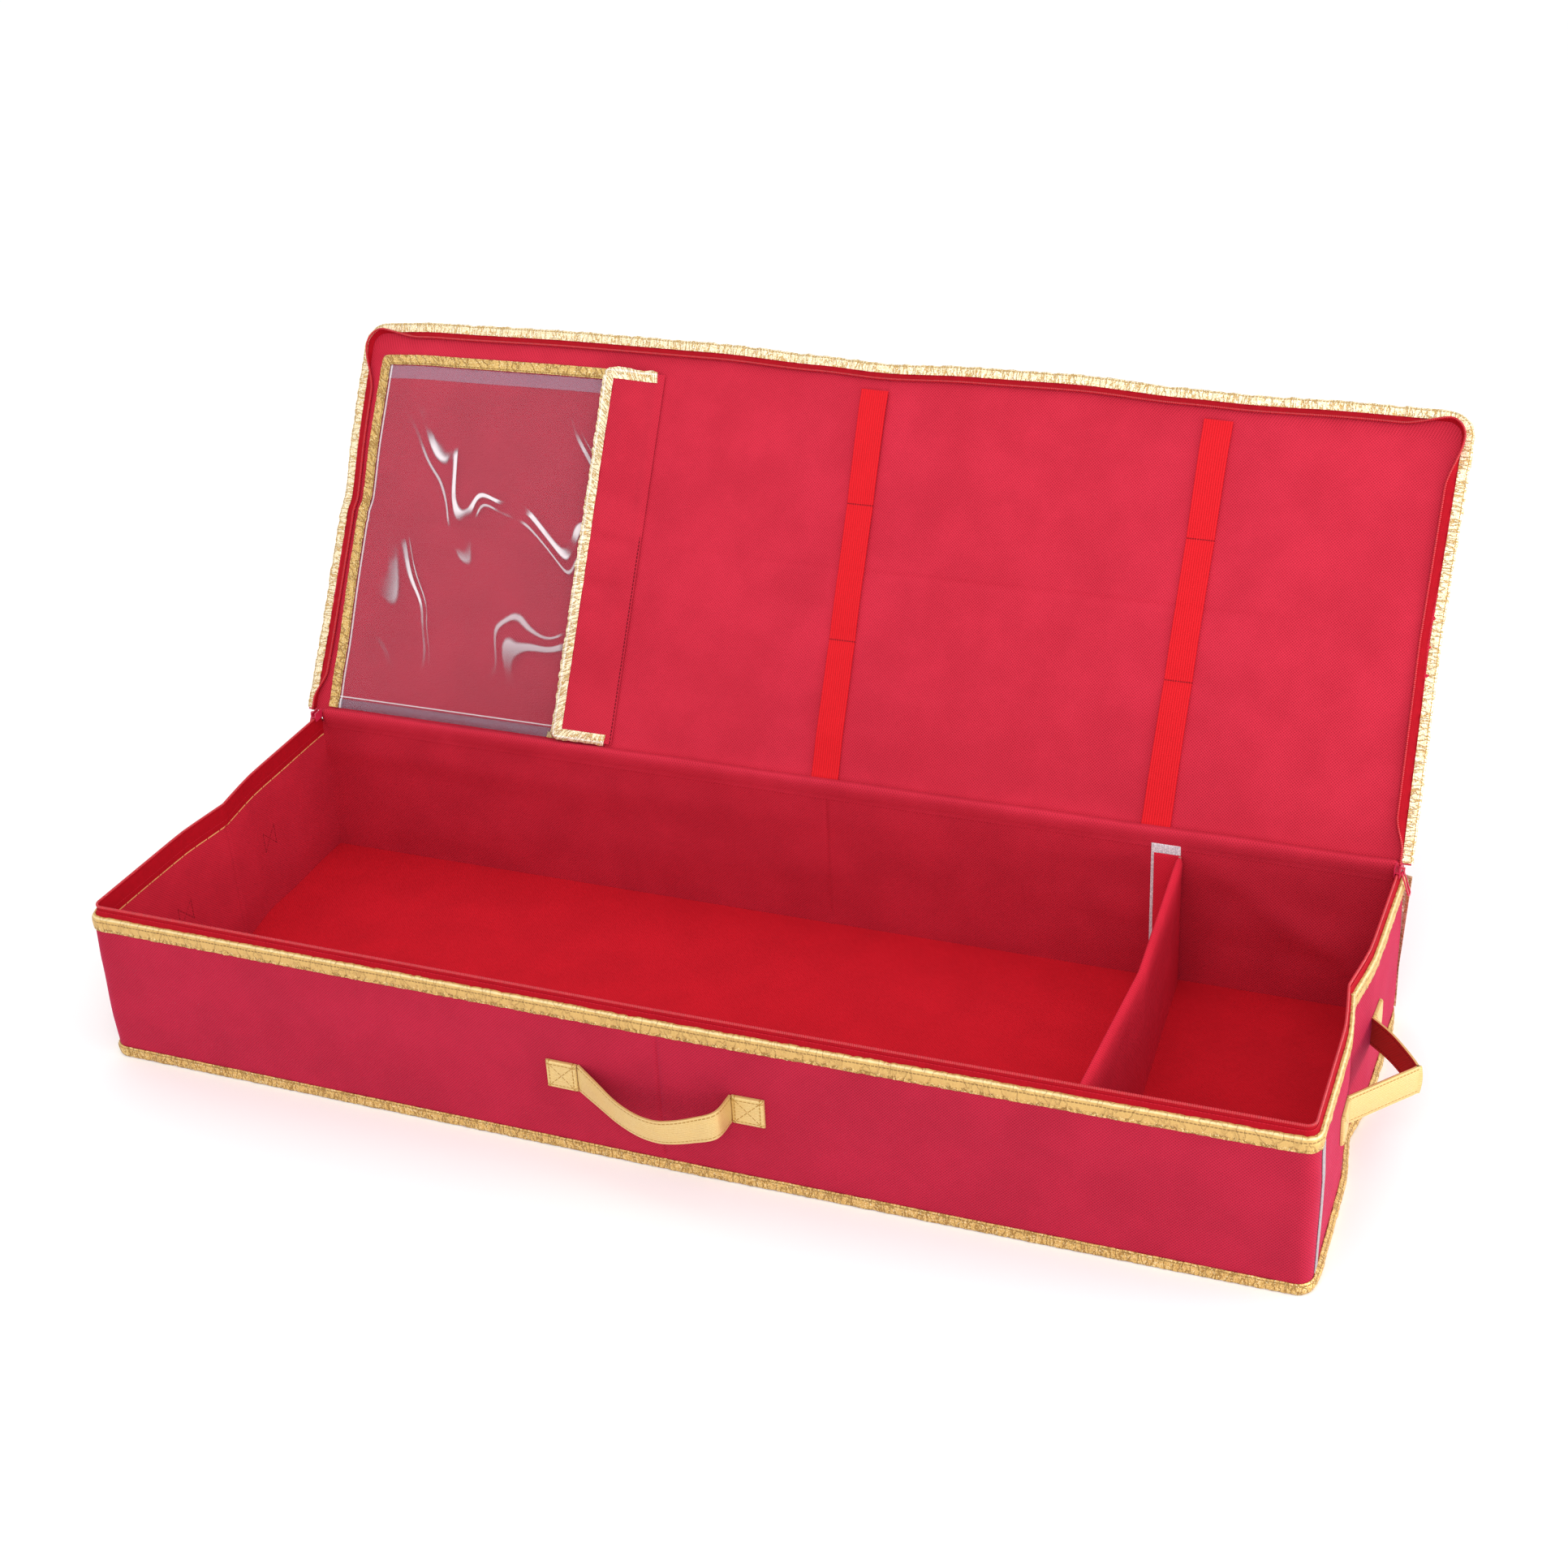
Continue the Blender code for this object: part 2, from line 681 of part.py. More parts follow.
def make_strap(name, shares, start, end, bow, sag, twist, middle_z, material):
    """A webbing strap bowed away from the wall between two points, its origin on its top edge."""
    along = end - start
    outward = Vector((along.y, -along.x)).normalized()
    stand = webbing / 2 + seam_gap
    path = []
    tilts = []
    for share, bow_share, sag_share in shares:
        point = start + along * share + outward * (stand + bow * bow_share)
        path.append((point.x, point.y, sag * sag_share))
        tilts.append(-twist * sag_share)
    sections = strap_sections(path, tilts, middle_z)
    made = loft(name, sections, material)
    middle = (start + end) / 2 + outward * stand
    return put_origin(made, (middle.x, middle.y, middle_z + webbing_width / 2))


def point_along(start, end, distance):
    """The point at a distance from the start, towards the end."""
    return start + (end - start).normalized() * distance


def make_handle_straps(finish):
    """The three carrying straps, bowed as they hang."""
    gold = finish["gold_webbing"]
    crease = plan[2]
    half_front = front_handle_span / 2 - strap_end_gap
    left_end = point_along(crease, plan[1], half_front - front_handle_x + crease_x)
    right_end = point_along(crease, plan[3], half_front + front_handle_x - crease_x)
    make_strap(
        "front_handle_strap", front_strap_shares, left_end, right_end, front_handle_bow, front_handle_sag,
        front_handle_twist, front_handle_height, gold)
    side_distance = side_handle_span / 2 - strap_end_gap + plan[6].y
    ends = (("right", 6, 5, 8, 9), ("left", 16, 15, 18, 19))
    for side, first_bend, first_end, last_bend, last_end in ends:
        first = point_along(plan[first_bend], plan[first_end], side_distance)
        last = point_along(plan[last_bend], plan[last_end], side_distance)
        make_strap(
            side + "_handle_strap", side_strap_shares, first, last, side_handle_bow, 0.0, 0.0,
            side_handle_height, gold)


def make_wall_tapes(finish):
    """Strips by the front corners, and the hook tapes that hold the divider."""
    tape = finish["hook_tape"]
    low = foot_binding_width + corner_tape_clearance
    high = wall_height - rim_binding_width - corner_tape_clearance
    reach = (corner_tape_start, corner_tape_start + corner_tape_width)
    inset = -(seam_gap + corner_tape)
    wall_patch("corner_tape_right", plan[5], plan[6], reach, low, high, inset, corner_tape, tape)
    mirrored_patch("corner_tape_left", plan[19], plan[18], reach, low, high, inset, corner_tape, tape)
    foot = floor_top + hook_tape_foot
    front_high = wall_height - tape_lap - corner_tape_clearance
    from_crease = (divider_front_x - crease_x) - hook_tape_width / 2
    front_reach = (from_crease, from_crease + hook_tape_width)
    wall_patch(
        "divider_hook_tape_front", plan[2], plan[3], front_reach, foot, front_high,
        inner_inset, hook_tape, tape)
    from_corner = plan[11].x - divider_rear_x - divider_half_thickness + hook_tape_shift
    rear_reach = (from_corner, from_corner + hook_tape_width)
    wall_patch(
        "divider_hook_tape_rear", plan[11], plan[12], rear_reach, foot, wall_height - hook_tape_rear_drop,
        inner_inset, hook_tape, tape)


# Divider

def front_face_y(x):
    """The front wall's outer face at a place to the right of its crease."""
    share = (x - plan[2].x) / (plan[3].x - plan[2].x)
    return plan[2].y + (plan[3].y - plan[2].y) * share


def sleeve(name, outline, cavity, low, cavity_high, high, material):
    """A solid outline with a hollow that is open underneath."""
    shape = bmesh.new()
    rings = []
    for points, z in ((outline, high), (outline, low), (cavity, low), (cavity, cavity_high)):
        rings.append([shape.verts.new((point.x, point.y, z)) for point in points])
    for upper, lower in ((rings[0], rings[1]), (rings[2], rings[3])):
        for index in range(len(upper)):
            beyond = (index + 1) % len(upper)
            shape.faces.new((upper[index], upper[beyond], lower[beyond], lower[index]))
    shape.faces.new(rings[0])
    shape.faces.new(rings[3])
    edges = []
    for ring in rings[1:3]:
        for index, corner in enumerate(ring):
            edges.append(shape.edges.get((corner, ring[(index + 1) % len(ring)])))
    bmesh.ops.triangle_fill(shape, edges=edges, use_beauty=True, normal=(0.0, 0.0, -1.0))
    return add_object(name, shape, material)


def make_divider(finish):
    """Padded divider: a board in a cloth sleeve, with a flange that presses on the rear hook tape."""
    half = divider_half_thickness
    front_y = front_face_y(divider_front_x) + inner_inset + hook_tape + 2 * seam_gap
    rear_y = half_depth - inner_inset - hook_tape - seam_gap
    panel_rear_y = rear_y - divider_flange
    flange_x = divider_rear_x + half - divider_flange_width
    right_side = [
        Vector((divider_front_x + half, front_y)), Vector((divider_middle_x + half, 0.0)),
        Vector((divider_rear_x + half, panel_rear_y))]
    left_side = [
        Vector((divider_rear_x - half, panel_rear_y)), Vector((divider_middle_x - half, 0.0)),
        Vector((divider_front_x - half, front_y))]
    flange = [
        Vector((divider_rear_x + half, rear_y)), Vector((flange_x, rear_y)), Vector((flange_x, panel_rear_y))]
    outline = right_side[:2] + flange + left_side
    panel = right_side + left_side
    cavity = offset_run(panel, cloth, True)
    board_outline = offset_run(panel, cloth + seam_gap, True)
    low = floor_top + seam_gap
    high = wall_height - divider_top_drop
    cavity_high = high - cloth
    sleeve("divider_cover", outline, cavity, low, cavity_high, high, finish["lining_cloth"])
    prism("divider_board", board_outline, low, cavity_high - seam_gap, finish["stiff_board"])


# Lid, in the places it has when it is closed, measured from the hinge axis

def lid_side(direction):
    """One side of the lid from front to rear, which is pulled in less than the wall at its middle."""
    front_half = []
    for along, share in side_crease_shares:
        pull = lid_pull if along == 1.0 else share * side_pull
        front_half.append((direction * (half_length - pull), (along - 1.0) * half_depth))
    rear_half = [(x, -y) for x, y in reversed(front_half[:-1])]
    return [Vector((x, y - hinge_y)) for x, y in front_half + rear_half]


def lid_edge(inset, start):
    """The lid's edge from its rear left end, round the front, to its rear right end."""
    right = lid_side(1.0)
    left = list(reversed(lid_side(-1.0)))
    rear_right = Vector((half_length, lid_lane_y))
    rear_left = Vector((-half_length, lid_lane_y))
    front_right = Vector((half_length, -half_depth - hinge_y))
    front_left = Vector((-half_length, -half_depth - hinge_y))
    radius = lid_corner_radius
    corner_left = rounded(front_left, left[-1], front_right, radius)
    corner_right = rounded(front_right, front_left, right[0], radius)
    run = [rear_left] + left + corner_left + corner_right + right + [rear_right]
    run = offset_run(run, inset - lid_overhang, False)
    return trimmed(run, start, start)


def lid_sheet(name, inset, low, thickness, material):
    """A full sheet of the lid."""
    start = lid_lane_y - lid_rear_y
    return prism(name, lid_edge(inset, start), low, low + thickness, material)


def lid_band(name, profile, start, material):
    """A band that follows the lid's edge, from a distance ahead of its rear ends."""
    rails = [lid_edge(inset, start) for inset, height in profile]
    return sweep(name, rails, [height for inset, height in profile], material)


def make_lid_cover(material):
    """Outer cloth of the lid, with the folded rear hem that reaches down to the hinge."""
    hem = hinge_hem / 2
    edge = lid_edge(lid_panel_inset, lid_lane_y - hem)
    half_hinge = half_length - hinge_end_margin
    footing = [Vector((half_hinge, hem)), Vector((half_hinge, -hem)), Vector((-half_hinge, -hem))]
    footing.append(Vector((-half_hinge, hem)))
    outline = edge + [footing[0], footing[3]]
    shape = bmesh.new()
    top = [shape.verts.new((point.x, point.y, lid_cover_high)) for point in outline]
    low = [shape.verts.new((point.x, point.y, lid_cover_low)) for point in outline]
    notch = [shape.verts.new((point.x, point.y, lid_cover_low)) for point in footing[1:3]]
    hem_low = hinge_bead_radius + hinge_bead_play
    hem_ring = [shape.verts.new((point.x, point.y, hem_low)) for point in footing]
    for index in range(len(outline)):
        beyond = (index + 1) % len(outline)
        if index != len(edge):
            shape.faces.new((top[index], top[beyond], low[beyond], low[index]))
    right, left = len(edge), len(edge) + 1
    shape.faces.new((top[right], top[left], low[left], low[right]))
    shape.faces.new(top)
    shape.faces.new(low[:right + 1] + notch + [low[left]])
    hem_top = [low[right], notch[0], notch[1], low[left]]
    for index in range(len(hem_top)):
        beyond = (index + 1) % len(hem_top)
        shape.faces.new((hem_top[index], hem_top[beyond], hem_ring[beyond], hem_ring[index]))
    shape.faces.new(hem_ring)
    return add_object("lid_cover", shape, material)


def make_hinge_strip(material):
    """Cloth strip on the rear wall that ends in the bead the lid turns about."""
    half = hinge_hem / 2
    opening = math.asin(half / hinge_bead_radius)
    start = -math.pi / 2 + opening
    sweep_angle = 2 * math.pi - 2 * opening
    outline = [(half, wall_height + seam_gap - hinge_z)]
    for step in range(hinge_bead_segments + 1):
        angle = start + sweep_angle * step / hinge_bead_segments
        outline.append((hinge_bead_radius * math.cos(angle), hinge_bead_radius * math.sin(angle)))
    outline.append((-half, wall_height + seam_gap - hinge_z))
    half_hinge = half_length - hinge_end_margin
    sections = []
    for x in (-half_hinge, half_hinge):
        sections.append([(x, hinge_y + y, hinge_z + z) for y, z in outline])
    return loft("hinge_strip", sections, material)


def make_lid_boards(material):
    """The two stiff boards of the lid, with its fold between them."""
    outline = lid_edge(lid_panel_inset + board_margin, lid_lane_y - lid_rear_y + board_margin)
    middle = len(outline) // 2
    front_y = outline[middle].y
    rear_y = outline[0].y
    left_x = crease_x - crease_fold / 2
    right_x = crease_x + crease_fold / 2
    left = outline[:middle] + [Vector((left_x, front_y)), Vector((left_x, rear_y))]
    right = [Vector((right_x, rear_y)), Vector((right_x, front_y))] + outline[middle:]
    prism("lid_board_left", left, lid_board_low, lid_board_low + board, material)
    prism("lid_board_right", right, lid_board_low, lid_board_low + board, material)


def make_lid(finish):
    """Cover, boards, lining, binding and zip of the lid."""
    made = [make_lid_cover(finish["cover_cloth"])]
    make_lid_boards(finish["stiff_board"])
    made += [bpy.data.objects["lid_board_left"], bpy.data.objects["lid_board_right"]]
    made.append(lid_sheet("lid_lining", lid_panel_inset, lid_face, cloth, finish["lining_cloth"]))
    leg = channel_profile(lid_binding_width, lid_face - seam_gap, lid_cover_high + seam_gap)
    made.append(lid_band("lid_binding", leg, lid_lane_y + lid_binding_start, finish["gold_binding"]))
    tape = rectangle_profile(lid_tape_inset, lid_tape_inset + zip_tape, lid_tape_low, lid_tape_high)
    made.append(lid_band("lid_zipper_tape", tape, rear_corner_radius, finish["zip_tape"]))
    half_row = row_width / 2
    row = rectangle_profile(lid_row_inset - half_row, lid_row_inset + half_row, lid_row_low, lid_row_high)
    made.append(lid_band("lid_zipper_chain", row, rear_corner_radius, finish["zip_chain"]))
    return made


def lining_point(x, up, height):
    """A point on the lid's lining: along the case, up from the hinge, and off the cloth."""
    return Vector((x, -up, lid_face - height))


def lining_piece(name, outline, height, thickness, material):
    """A flat piece on the lid's lining, drawn as (x, up) points."""
    points = [lining_point(x, up, 0.0) for x, up in outline]
    low = lid_face - height - thickness
    return prism(name, points, low, low + thickness, material)


def make_elastic_straps(material):
    """Two elastic straps that run up the lid's lining."""
    made = []
    half = elastic_width / 2
    foot, head = elastic_start, elastic_head
    for name, foot_x, head_x in (
            ("elastic_strap_left", middle_strap_foot_x, middle_strap_head_x),
            ("elastic_strap_right", right_strap_foot_x, right_strap_head_x)):
        outline = (
            (foot_x - half, foot), (foot_x + half, foot), (head_x + half, head), (head_x - half, head))
        made.append(lining_piece(name, outline, seam_gap, elastic, material))
    return made


def pocket_height_at(across, up):
    """How far the clear pocket stands off, at shares of its width and height inside its binding."""
    if across <= 0.0 or up <= 0.0 or up >= 1.0:
        return seam_gap
    across_bulge = math.sin(math.pi * pocket_mouth_turn_share * across)
    return seam_gap + pocket_depth * across_bulge * math.sin(math.pi * up) ** pocket_fullness_share


def make_pocket_window(material):
    """Clear pocket, sewn along three sides and bulged towards its open right side."""
    left = -half_length + pocket_left_margin
    inner_width = pocket_width - pocket_binding_width
    inner_height = pocket_head - pocket_start - 2 * pocket_binding_width
    columns = [(left, 0.0)]
    for step in range(pocket_columns + 1):
        share = step / pocket_columns
        columns.append((left + pocket_binding_width + inner_width * share, share))
    rows = [(pocket_start, 0.0)]
    for step in range(pocket_rows + 1):
        share = step / pocket_rows
        rows.append((pocket_start + pocket_binding_width + inner_height * share, share))
    rows.append((pocket_head, 1.0))
    shape = bmesh.new()
    grids = []
    for lift in (0.0, vinyl):
        grid = []
        for up, up_share in rows:
            line = []
            for x, across_share in columns:
                height = pocket_height_at(across_share, up_share) + lift
                line.append(shape.verts.new(lining_point(x, up, height)))
            grid.append(line)
        grids.append(grid)
    for grid in grids:
        for row, next_row in zip(grid, grid[1:]):
            for index in range(len(columns) - 1):
                shape.faces.new((row[index], row[index + 1], next_row[index + 1], next_row[index]))
    rims = []
    for grid in grids:
        sides = grid[0] + [line[-1] for line in grid[1:]] + grid[-1][-2::-1]
        rims.append(sides + [line[0] for line in grid[-2:0:-1]])
    for index in range(len(rims[0])):
        beyond = (index + 1) % len(rims[0])
        shape.faces.new((rims[0][index], rims[0][beyond], rims[1][beyond], rims[1][index]))
    return add_object("pocket_window", shape, material)


def make_pocket_binding(material):
    """Metallic tape over the three sewn sides of the pocket."""
    left = -half_length + pocket_left_margin
    right = left + pocket_width
    foot = pocket_start
    head = pocket_head
    width = pocket_binding_width
    outline = (
        (right, foot), (left, foot), (left, head), (right, head), (right, head - width),
        (left + width, head - width), (left + width, foot + width), (right, foot + width))
    return lining_piece("pocket_binding", outline, 2 * seam_gap + vinyl, binding, material)


def flap_lean():
    """The angle at which the flap clears the bulge of the pocket's mouth."""
    bulge = pocket_height_at(1.0, 0.5) + vinyl + pocket_bulge_clearance
    leg = flap_half_thickness + seam_gap + binding
    return math.asin((bulge + leg - flap_axis_height) / (flap_reach - flap_overlap))


def make_flap(finish, lid_pivot):
    """Cloth flap over the pocket's mouth, with its binding, on the line where it is sewn."""
    hinge_x = -half_length + pocket_left_margin + pocket_width - flap_overlap + flap_reach
    place = lining_point(hinge_x, 0.0, flap_axis_height)
    pivot = add_pivot("flap_pivot", place, parent=lid_pivot)
    pivot.rotation_euler = (0.0, -flap_lean(), 0.0)
    foot = -pocket_start
    head = -pocket_head
    free = -flap_reach
    sewn = -cloth
    edge = [Vector((sewn, foot)), Vector((free, foot)), Vector((free, head)), Vector((sewn, head))]
    inner = offset_run(edge, binding + seam_gap, False)
    half = flap_half_thickness
    flap = prism("pocket_flap", inner, -half, half, finish["lining_cloth"])
    leg = channel_profile(flap_binding_width, -half - seam_gap, half + seam_gap)
    start = flap_binding_start
    rails = [trimmed(offset_run(edge, inset, False), start, start) for inset, height in leg]
    heights = [height for inset, height in leg]
    trim = sweep("flap_binding", rails, heights, finish["gold_binding"])
    flap.parent = pivot
    trim.parent = pivot


# Build

def clear_scene():
    """Start from an empty scene."""
    for item in list(bpy.data.objects):
        bpy.data.objects.remove(item, do_unlink=True)


def main():
    """Make every piece of the organizer."""
    clear_scene()
    finish = make_materials()
    make_floor(finish)
    make_walls(finish)
    make_base_bindings(finish)
    make_base_zip(finish)
    make_sliders(finish)
    make_hinge_strip(finish["cover_cloth"])
    make_handle_pads(finish)
    make_handle_straps(finish)
    make_wall_tapes(finish)
    make_divider(finish)
    lid_pivot = add_pivot("lid_pivot", (0.0, hinge_y, hinge_z), -lid_open_angle)
    lid_pieces = make_lid(finish)
    lid_pieces.append(make_pocket_window(finish["clear_vinyl"]))
    lid_pieces.append(make_pocket_binding(finish["gold_binding"]))
    lid_pieces += make_elastic_straps(finish["elastic_band"])
    for piece in lid_pieces:
        piece.parent = lid_pivot
    make_flap(finish, lid_pivot)


main()
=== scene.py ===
# %% [markdown]
# # A gift wrap organizer, dressed for its picture
# The packed model gives every piece its exact place. It comes in as a fixed frame of plain solids.
# This lesson lays real cloth, gold tape, zips and webbing over that frame, piece by piece.
# Lengths are metres: X runs along the case, Y from the front wall to the back wall, Z up.

# %% Load the frame
import math

import bmesh
import bpy
from mathutils import Matrix, Vector, noise
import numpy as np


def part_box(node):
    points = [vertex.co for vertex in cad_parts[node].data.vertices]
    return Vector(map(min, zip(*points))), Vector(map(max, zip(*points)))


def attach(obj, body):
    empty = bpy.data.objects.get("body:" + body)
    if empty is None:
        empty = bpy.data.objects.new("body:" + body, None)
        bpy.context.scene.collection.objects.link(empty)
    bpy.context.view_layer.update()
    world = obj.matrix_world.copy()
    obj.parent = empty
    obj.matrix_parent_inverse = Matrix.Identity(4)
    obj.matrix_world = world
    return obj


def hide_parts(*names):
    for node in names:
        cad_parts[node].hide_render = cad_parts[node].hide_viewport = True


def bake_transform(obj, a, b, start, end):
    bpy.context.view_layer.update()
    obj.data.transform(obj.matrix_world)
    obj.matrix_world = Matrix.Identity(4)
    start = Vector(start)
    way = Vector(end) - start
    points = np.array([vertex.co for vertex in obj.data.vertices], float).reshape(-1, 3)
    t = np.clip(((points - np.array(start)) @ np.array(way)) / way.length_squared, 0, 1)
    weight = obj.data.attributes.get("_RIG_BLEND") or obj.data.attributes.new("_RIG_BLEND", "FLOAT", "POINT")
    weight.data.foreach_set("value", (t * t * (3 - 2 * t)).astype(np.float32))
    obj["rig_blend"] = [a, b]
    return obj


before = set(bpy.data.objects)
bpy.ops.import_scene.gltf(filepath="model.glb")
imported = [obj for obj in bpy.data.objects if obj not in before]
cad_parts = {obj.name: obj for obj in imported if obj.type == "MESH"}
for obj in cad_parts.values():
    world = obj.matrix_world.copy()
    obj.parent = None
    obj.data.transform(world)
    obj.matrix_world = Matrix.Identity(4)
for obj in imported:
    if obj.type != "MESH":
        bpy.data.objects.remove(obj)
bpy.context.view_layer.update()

print("Solids in the frame:", len(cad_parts))

# %% [markdown]
# ## The sizes that the cloth follows
# The solids and the cloth have to agree, so the case's own sizes are repeated here once.
# Everything after this works from these names, so one change moves every layer together.

# %% Sizes of the case and its layers
half_length = 1.035 / 2
half_depth = 0.380 / 2
wall_height = 0.140
front_corner_radius = 0.012
rear_corner_radius = 0.004
crease_x = 0.008
front_bow = 0.003
side_pull = 0.009
side_bend = 0.28 * half_depth
side_bend_pull = 0.2 * side_pull

cloth = 0.0008
board = 0.0018
seam_gap = 0.0003
wall_foot = cloth + seam_gap
board_inset = cloth + seam_gap
lining_inset = board_inset + board + seam_gap
wall_thickness = lining_inset + cloth
inner_inset = wall_thickness + seam_gap
floor_top = wall_foot + board + seam_gap + cloth

binding = 0.0010
rim_binding_width = 0.012
foot_binding_width = 0.010
zip_tape = 0.0007
zip_tape_top = 0.1462
chain_low = 0.1465
chain_height = 0.0030
chain_width = 0.0022
chain_inset = inner_inset + zip_tape / 2
webbing = 0.0016
webbing_width = 0.0254
print("Wall, from the outer cloth to the lining:", round(wall_thickness * 1000, 1), "mm")

# %% Sizes of the lid, from its hinge line with the lid closed
hinge_y = 0.1865
hinge_z = 0.1503
lid_open_angle = math.radians(121.0)
lid_chain_low = 0.0008
lid_tape_low = 0.0041
lid_tape_high = 0.0086
lid_face = 0.0089
lid_cover_low = 0.0121
lid_overhang = 0.0045
lid_panel_inset = 0.0013
lid_tape_inset = 0.0088
lid_chain_inset = lid_tape_inset + zip_tape / 2
lid_front_y = -half_depth - lid_overhang - hinge_y
lid_rear_y = -(cloth + seam_gap)
lid_corner_radius = 0.018
lid_side_pull = 0.003
lid_place = Matrix.Translation((0.0, hinge_y, hinge_z)) @ Matrix.Rotation(-lid_open_angle, 4, "X")
print("Lid, from its hinge line to its free edge:", round(-lid_front_y * 1000), "mm")

# %% [markdown]
# ## Lines that cloth can be laid along
# A sewn case is made of long strips that turn round its corners. A strip is easy to describe by two
# distances: how far along the strip, and how far across it. A rail is a line that knows its own length
# and which way is sideways at each point, with mitred corners, so one rail serves every layer of a wall.

# %% A rail and its mitres
class Rail:
    """A line in a plane that can be followed by distance, and stepped to its left."""

    def __init__(self, points, closed=False):
        self.points = points + [points[0]] if closed else points
        self.closed = closed
        self.reach = [0.0]
        for here, onward in zip(self.points, self.points[1:]):
            self.reach.append(self.reach[-1] + (onward - here).length)
        self.length = self.reach[-1]
        self.mitres = [self.mitre(index) for index in range(len(self.points))]

    def left_of(self, index):
        """The direction to the left of one stretch."""
        step = (self.points[index + 1] - self.points[index]).normalized()
        return Vector((-step.y, step.x))

    def mitre(self, index):
        """The sideways step at a corner that keeps both of its stretches parallel."""
        last = len(self.points) - 2
        before = index - 1 if index > 0 else (last if self.closed else 0)
        after = index if index <= last else (0 if self.closed else last)
        total = self.left_of(before) + self.left_of(after)
        return total * (2 / total.length_squared)

    def at(self, along, left=0.0):
        """The point at a distance along the line, moved to its left."""
        along = min(max(along, 0.0), self.length)
        index = 0
        while index < len(self.reach) - 2 and self.reach[index + 1] < along:
            index += 1
        share = (along - self.reach[index]) / (self.reach[index + 1] - self.reach[index])
        point = self.points[index].lerp(self.points[index + 1], share)
        return point + self.mitres[index].lerp(self.mitres[index + 1], share) * left

    def where(self, axis, value, low=0.0, high=None):
        """The distance at which the line reaches a value on one axis."""
        high = self.length if high is None else high
        rising = self.at(high)[axis] > self.at(low)[axis]
        for _ in range(40):
            middle = (low + high) / 2
            if (self.at(middle)[axis] < value) == rising:
                low = middle
            else:
                high = middle
        return (low + high) / 2

    def stations(self, spacing, start=0.0, end=None):
        """Distances to put mesh columns at: every corner, and even steps between corners."""
        end = self.length if end is None else end
        marks = [start] + [mark for mark in self.reach if start < mark < end] + [end]
        found = []
        for here, onward in zip(marks, marks[1:]):
            steps = max(1, math.ceil((onward - here) / spacing))
            found += [here + (onward - here) * step / steps for step in range(steps)]
        return found + [end]


elbow = Rail([Vector((0.0, 0.0)), Vector((1.0, 0.0)), Vector((1.0, 1.0))])
print("An elbow with arms of 1 m, stepped 0.1 m to its left, turns at", elbow.at(1.0, 0.1).to_tuple(2))


# %% Evenly spaced numbers
def even(start, end, count):
    """Evenly spaced numbers, both ends included."""
    return [start + (end - start) * step / count for step in range(count + 1)]


print("A metre in four even steps:", even(0.0, 1.0, 4))


# %% Side walls and round corners from above
def side_pull_at(distance, middle_pull):
    """How far a side wall stands in from its corners, at a distance from its middle crease."""
    by_crease = middle_pull + (side_bend_pull - middle_pull) * distance / side_bend
    by_corner = side_bend_pull * (half_depth - distance) / (half_depth - side_bend)
    blend_width = 0.0016
    overlap = max(blend_width - abs(by_crease - by_corner), 0.0) / blend_width
    return max(by_crease, by_corner) + overlap * overlap * blend_width / 4


def side_line(direction, start_y, end_y, middle_pull):
    """A side wall from above, creased in its middle and softly bent on both sides of the crease."""
    points = []
    for y in even(start_y, 0.0, 10) + even(0.0, end_y, 10)[1:]:
        points.append(Vector((direction * (half_length - side_pull_at(abs(y), middle_pull)), y)))
    return points


def quarter_turn(corner, before, after, radius, steps=6):
    """Points of the round corner between two directions that meet at a corner."""
    back = (before - corner).normalized() * radius
    onward = (after - corner).normalized() * radius
    centre = corner + back + onward
    angles = even(0.0, math.pi / 2, steps)
    return [centre - onward * math.cos(angle) - back * math.sin(angle) for angle in angles]


print("A side wall stands in by", round(side_pull_at(0.0, side_pull) * 1000, 1), "mm at its crease")


# %% The rails of the case
def case_rails():
    """The rail of the zipped rim, which leaves the back wall out, and the rail all the way round."""
    front_left, front_right = Vector((-half_length, -half_depth)), Vector((half_length, -half_depth))
    rear_right, rear_left = Vector((half_length, half_depth)), Vector((-half_length, half_depth))
    crease = Vector((crease_x, -half_depth - front_bow))
    sides_front, sides_rear = -half_depth + front_corner_radius, half_depth - rear_corner_radius
    left = side_line(-1.0, sides_rear, sides_front, side_pull)
    right = side_line(1.0, sides_front, sides_rear, side_pull)
    rim = left[:-1] + quarter_turn(front_left, left[-2], crease, front_corner_radius) + [crease]
    rim += quarter_turn(front_right, crease, right[1], front_corner_radius) + right[1:]
    rear_crease = Vector((crease_x, half_depth))
    back = quarter_turn(rear_right, right[-2], rear_crease, rear_corner_radius, 4)[1:] + [rear_crease]
    back += quarter_turn(rear_left, rear_crease, left[1], rear_corner_radius, 4)[:-1]
    return Rail(rim), Rail(rim + back, closed=True)


rim_rail, case_rail = case_rails()
beside_left, mid_front, beside_right = 0.3, 0.9, 1.45
front_corner_left = rim_rail.where(0, -half_length + front_corner_radius, beside_left, mid_front)
front_corner_right = rim_rail.where(0, half_length - front_corner_radius, mid_front, beside_right)
print("Zipped rim:", round(rim_rail.length, 3), "m; all round:", round(case_rail.length, 3), "m")

# %% Places on the four walls
corner_room = 0.02
wall_spans = {
    "left": (0.0, front_corner_left - corner_room),
    "front": (front_corner_left, front_corner_right),
    "right": (front_corner_right + corner_room, rim_rail.length),
    "back": (rim_rail.length + corner_room, case_rail.length - corner_room)}
wall_axes = {"left": 1, "front": 0, "right": 1, "back": 0}


def wall_mark(wall, place):
    """The rail's distance at a place on a wall: its x on the front and back, its y on the sides."""
    return case_rail.where(wall_axes[wall], place, *wall_spans[wall])


